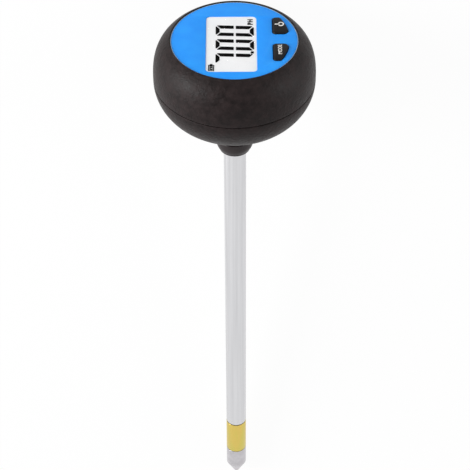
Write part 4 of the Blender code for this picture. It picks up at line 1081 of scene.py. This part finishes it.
def patches(nodes, links, size, detail, roughness):
    """Noise whose patches have a size in metres: one number, or one for each of the tester's axes."""
    size = size if isinstance(size, tuple) else (size, size, size)
    place, mapping = nodes.new("ShaderNodeTexCoord"), nodes.new("ShaderNodeMapping")
    mapping.vector_type = "TEXTURE"
    with_inputs(mapping, Location=ORIGIN, Rotation=TESTER_TURN, Scale=size)
    noise = with_inputs(nodes.new("ShaderNodeTexNoise"), Scale=1.0, Detail=detail, Roughness=roughness)
    links.new(place.outputs["Object"], mapping.inputs["Vector"])
    links.new(mapping.outputs["Vector"], noise.inputs["Vector"])
    return noise.outputs["Fac"]


def spread(nodes, links, value, low, high):
    """Turns noise inside its usual range into numbers from low to high."""
    step = with_inputs(nodes.new("ShaderNodeMapRange"), To_Min=low, To_Max=high)
    with_inputs(step, From_Min=NOISE_RANGE[0], From_Max=NOISE_RANGE[1])
    links.new(value, step.inputs["Value"])
    return step.outputs["Result"]


print("noise turned by", [round(math.degrees(angle), 1) for angle in TESTER_TURN], "degrees")

# %% The finish helper


def dress(material, *pieces):
    """Puts one material on pieces or CAD nodes."""
    for made in pieces:
        made.data.materials.clear()
        made.data.materials.append(material)


def finish(pieces, name, colours, patch, roughness, *grains, **sockets):
    """Dresses pieces in a material: two colours mixed in patches, a roughness that varies with them, and
    layers of grain, each given by the size of its patches and the depth of its bumps in metres."""
    made = bpy.data.materials.new(name)
    made.use_nodes = True
    nodes, links = made.node_tree.nodes, made.node_tree.links
    shader = with_inputs(nodes["Principled BSDF"], **sockets)
    cloud = patches(nodes, links, patch, CLOUD_DETAIL, CLOUD_ROUGHNESS)
    mix = nodes.new("ShaderNodeMix")
    mix.data_type = "RGBA"
    first, second = (socket for socket in mix.inputs if socket.type == "RGBA")
    first.default_value, second.default_value = ((*colour, 1.0) for colour in colours)
    links.new(spread(nodes, links, cloud, 0.0, 1.0), mix.inputs["Factor"])
    links.new(next(socket for socket in mix.outputs if socket.type == "RGBA"), shader.inputs["Base Color"])
    links.new(spread(nodes, links, cloud, *roughness), shader.inputs["Roughness"])
    normal = shader.inputs["Normal"]
    for size, depth in grains[::-1]:
        bump = with_inputs(nodes.new("ShaderNodeBump"), Strength=1.0, Distance=depth)
        links.new(patches(nodes, links, size, GRAIN_DETAIL, GRAIN_ROUGHNESS), bump.inputs["Height"])
        links.new(bump.outputs["Normal"], normal)
        normal = bump.inputs["Normal"]
    dress(made, *pieces)
    print("finish", name)
    return made


# %% [markdown]
# ### Soft-touch charcoal, keys and collar
#
# The head has a rubbery paint over plastic: dark, hardly shiny, with a fine grain and paler
# clouds that handling leaves. One dark colour alone would look flat, so two colours are mixed in
# patches, the roughness varies with them, and two layers of bumps make the grain. The keys are
# smoother and blacker, and the collar is plain moulded plastic.

# %% Dark plastics
finish(
    (upper, lower, cap), "soft_touch_charcoal",
    ((0.004, 0.0015, 0.0015), (0.017, 0.0105, 0.0105)), 0.003, (0.44, 0.58),
    (0.0004, 0.00009), (0.0013, 0.00019),
    Specular_IOR_Level=0.15, Sheen_Weight=0.04, Sheen_Roughness=0.45,
)
key_black = finish(
    keys.values(), "key_black_rubber",
    ((0.005, 0.0045, 0.0045), (0.009, 0.008, 0.008)), 0.002, (0.34, 0.46),
    (0.0003, 0.00002), Specular_IOR_Level=0.13,
)
finish(
    [collar], "collar_black",
    ((0.012, 0.0075, 0.008), (0.0195, 0.014, 0.0145)), 0.003, (0.36, 0.5),
    (0.00018, 0.000012), ((0.004, 0.004, 0.00035), 0.00001), Specular_IOR_Level=0.3,
)

# %% [markdown]
# ### Azure face, display and print
#
# The face is satin, printed azure with a faint orange-peel. The display glass is a pale grey
# film, finely speckled, under a clear window. The window could be glass all through, but that
# would darken the film behind it, so its alpha lets nearly all the light straight through.

# %% Face, display, window and print
finish(
    [face], "azure_face",
    ((0.006, 0.3, 0.98), (0.014, 0.34, 1.0)), 0.009, (0.34, 0.46),
    (0.00045, 0.000008), (0.003, 0.00001), Specular_IOR_Level=0.2,
)
finish(
    [glass], "display_film",
    ((0.86, 0.864, 0.872), (0.915, 0.917, 0.922)), 0.01, (0.3, 0.38), (0.00012, 0.000004),
)
finish(
    (digits, sign, unit), "display_ink",
    ((0.0006, 0.0006, 0.0006), (0.0012, 0.0012, 0.0012)), 0.002, (0.35, 0.45),
    (0.0002, 0.000003), Specular_IOR_Level=0.02,
)
finish(
    (power_sign, mode_sign), "white_print",
    ((0.88, 0.86, 0.82), (0.96, 0.94, 0.9)), 0.001, (0.5, 0.6), (0.0002, 0.000005),
)
finish(
    [pane], "clear_pane",
    ((0.9, 0.94, 0.97), (0.96, 0.98, 1.0)), 0.012, (0.004, 0.012),
    (0.004, 0.000002), Alpha=0.001, Transmission_Weight=1.0,
)
# The pale ring round the face is a painted highlight: a paler blue where the edge of the face catches the
# light.
finish(
    [edge_highlight], "painted_edge_highlight",
    ((0.36, 0.56, 0.74), (0.5, 0.68, 0.84)), 0.002, (0.3, 0.4), (0.0004, 0.000008),
)

# %% [markdown]
# ### Metals
#
# The tube was drawn through a die, so its fine lines run along it: the patches of its grain are
# long in z. The ring and the point were turned, so theirs are thin in z and the lines run round.
# An anisotropic shader could stretch the highlights in the same way, but it wouldn't show the
# lines themselves from close by.

# %% Metals
finish(
    [tube], "drawn_satin_tube",
    ((0.6, 0.6, 0.615), (0.68, 0.68, 0.695)), (0.0012, 0.0012, 0.09), (0.3, 0.42),
    ((0.00012, 0.00012, 0.012), 0.000004), Metallic=1.0,
)
turned_brass = finish(
    [brass_ring], "turned_brass",
    ((0.585, 0.535, 0.115), (0.69, 0.51, 0.13)), (0.0036, 0.0036, 0.024), (0.28, 0.38),
    ((0.003, 0.003, 0.0001), 0.000004), Metallic=1.0,
)
finish(
    [point], "turned_steel_point",
    ((0.5, 0.485, 0.505), (0.59, 0.575, 0.595)), 0.004, (0.3, 0.42),
    ((0.003, 0.003, 0.00012), 0.000005), Metallic=1.0,
)

# %% [markdown]
# ### What is inside
#
# The frame's own nodes for the board, the cells, the seals, the wires and the screws are inside
# the head and the tube. They could be built again like the casings, but few of them can be seen,
# through the gaps and in the screw holes. So they keep their CAD meshes and only take a finish.

# %% Finishes for the nodes that stay
INNER_FINISHES = (
    ("board_green", ((0.012, 0.11, 0.04), (0.02, 0.17, 0.06)), 0.003, (0.35, 0.45), (0.0006, 0.00001)),
    ("seal_rubber", ((0.01, 0.01, 0.01), (0.018, 0.018, 0.018)), 0.002, (0.6, 0.75), (0.0002, 0.00001)),
    ("olive_insulator", ((0.06, 0.062, 0.03), (0.1, 0.1, 0.05)), 0.002, (0.5, 0.6), (0.0003, 0.00001)),
    ("ivory_plastic", ((0.62, 0.61, 0.56), (0.72, 0.71, 0.67)), 0.004, (0.4, 0.5), (0.0004, 0.00001)),
    ("red_wire", ((0.4, 0.012, 0.01), (0.52, 0.02, 0.018)), 0.002, (0.4, 0.5), (0.0003, 0.00001)),
    ("bright_steel", ((0.5, 0.5, 0.51), (0.62, 0.62, 0.63)), 0.003, (0.25, 0.38), (0.0004, 0.000004)),
)
INNER_NODES = {
    "board_green": "circuit_board",
    "seal_rubber": "cap_seal tube_seal contact_strip_near contact_strip_far negative_lead",
    "olive_insulator": "upper_insulator lower_insulator",
    "ivory_plastic": "lcd_frame rod_sleeve power_plunger mode_plunger ring_lead",
    "red_wire": "tip_lead positive_lead",
    "bright_steel": "button_cell_1 button_cell_2 cell_spring cap_contact positive_strip centre_rod "
    "case_screw_1 case_screw_2 case_screw_3 case_screw_4 board_screw_1 board_screw_2 board_screw_3",
}


def nodes_named(names):
    """The CAD nodes in a list of names with spaces between them."""
    return [frame["nodes"][node] for node in names.split()]


for name, *look in INNER_FINISHES:
    metal = {"Metallic": 1.0} if name == "bright_steel" else {}
    finish(nodes_named(INNER_NODES[name]), name, *look, **metal)
dress(key_black, *nodes_named("main_chip power_switch mode_switch"))
dress(turned_brass, *nodes_named("tube_nut"))

# %% [markdown]
# ## Table, light and camera
#
# The tester lies on a pale table under two large, soft lamps and an even white sky. The table
# could be lit until it is white, but then the tester would be too bright. So it glows, seen only
# by the camera and in reflections, and comes out white while it still takes a shadow. The camera
# looks at the head from the side of the keys and from above, along the direction of the
# photograph, with the head at the top of the picture.

# %% Table and sky
TABLE_SIZE = 6.0
TABLE_PAINT = (0.94, 0.94, 0.94, 1.0)
TABLE_ROUGHNESS = 0.9
TABLE_GLOW = 0.95
SKY_STRENGTH = 0.4
WHITE = (1.0, 1.0, 1.0, 1.0)


def seen_directly(nodes, links):
    """One for rays from the camera and for reflections, and zero for the light that falls on things."""
    ray, seen = nodes.new("ShaderNodeLightPath"), nodes.new("ShaderNodeMath")
    seen.operation = "MAXIMUM"
    links.new(ray.outputs["Is Camera Ray"], seen.inputs[0])
    links.new(ray.outputs["Is Glossy Ray"], seen.inputs[1])
    return seen.outputs["Value"]


def mixed(nodes, links, share, first, second, output):
    """Sends a share of the second shader, and the rest of the first, to an output node."""
    mix = nodes.new("ShaderNodeMixShader")
    links.new(share, mix.inputs["Fac"])
    links.new(first.outputs[0], mix.inputs[1])
    links.new(second.outputs[0], mix.inputs[2])
    links.new(mix.outputs["Shader"], nodes[output].inputs["Surface"])


def table_material():
    """Plain pale matt paint, with a glow that only the camera and reflections see."""
    made = bpy.data.materials.new("pale_table")
    made.use_nodes = True
    nodes, links = made.node_tree.nodes, made.node_tree.links
    paint = {"Base_Color": TABLE_PAINT, "Roughness": TABLE_ROUGHNESS, "Specular_IOR_Level": 0.0}
    shader = with_inputs(nodes["Principled BSDF"], **paint)
    glow = with_inputs(nodes.new("ShaderNodeEmission"), Color=WHITE, Strength=1.0)
    share = nodes.new("ShaderNodeMath")
    share.operation = "MULTIPLY"
    share.inputs[1].default_value = TABLE_GLOW
    links.new(seen_directly(nodes, links), share.inputs[0])
    mixed(nodes, links, share.outputs["Value"], shader, glow, "Material Output")
    return made


half = TABLE_SIZE / 2
table_corners = [(-half, -half, 0.0), (half, -half, 0.0), (half, half, 0.0), (-half, half, 0.0)]
table_mesh = bpy.data.meshes.new("table_top")
table_mesh.from_pydata(table_corners, [], [(0, 1, 2, 3)])
table = linked("table_top", table_mesh)
dress(table_material(), table)

world = bpy.data.worlds.new("studio")
bpy.context.scene.world = world
world.use_nodes = True
nodes, links = world.node_tree.nodes, world.node_tree.links
sky = with_inputs(nodes["Background"], Color=WHITE, Strength=SKY_STRENGTH)
plain_white = with_inputs(nodes.new("ShaderNodeBackground"), Color=WHITE, Strength=1.0)
mixed(nodes, links, seen_directly(nodes, links), sky, plain_white, "World Output")
print("table", TABLE_SIZE, "m wide, sky strength", SKY_STRENGTH)

# %% Lamps


def lamp(name, place, aim, size, power):
    """A square soft lamp of a size in metres at a place, turned towards a point."""
    light = bpy.data.lights.new(name, "AREA")
    light.shape = "SQUARE"
    light.size = size
    light.energy = power
    made = linked(name, light)
    made.location = place
    made.rotation_euler = (Vector(aim) - Vector(place)).to_track_quat("-Z", "Y").to_euler()


MIDDLE = Vector(((CAD_BOX[0] + CAD_BOX[1]) / 2))
LAMP_SIZE = 0.6
WINDOW_PLACE = (1.15, -0.33, 0.5)
WINDOW_POWER = 21.0
FILL_PLACE = (-1.15, -0.3, 0.4)
FILL_POWER = 6.5
lamp("window_lamp", WINDOW_PLACE, MIDDLE, LAMP_SIZE, WINDOW_POWER)
lamp("fill_lamp", FILL_PLACE, MIDDLE, LAMP_SIZE, FILL_POWER)
print("lamps aim at", tuple(round(v, 3) for v in MIDDLE))

# %% Camera
CAMERA_PLACE = np.array([0.0, -0.54419, 0.42755])
CAMERA_WAY = np.array([0.0, 0.7273, -0.6863])
CAMERA_LENS = 133.87
CAMERA_ROLL = math.radians(-0.285)
CAMERA_SHIFT = -0.0006
CAMERA_SENSOR = 36.0
CAMERA_CLIP = 0.01

camera_data = bpy.data.cameras.new("camera")
camera_data.sensor_width = CAMERA_SENSOR
camera_data.lens = CAMERA_LENS
camera_data.shift_x = CAMERA_SHIFT
camera_data.clip_start = CAMERA_CLIP
camera = linked("camera", camera_data)
bpy.context.scene.camera = camera
back = Vector(-(CAMERA_WAY / np.linalg.norm(CAMERA_WAY)) @ AXES)
right = Vector(X_AXIS)
above = back.cross(right)
turn = Matrix((right, above, back)).transposed().to_4x4() @ Matrix.Rotation(CAMERA_ROLL, 4, "Z")
camera.matrix_world = Matrix.Translation(Vector(placed(CAMERA_PLACE))) @ turn
bpy.context.scene.view_settings.view_transform = "Standard"
print("camera at", tuple(round(v, 4) for v in camera.location))
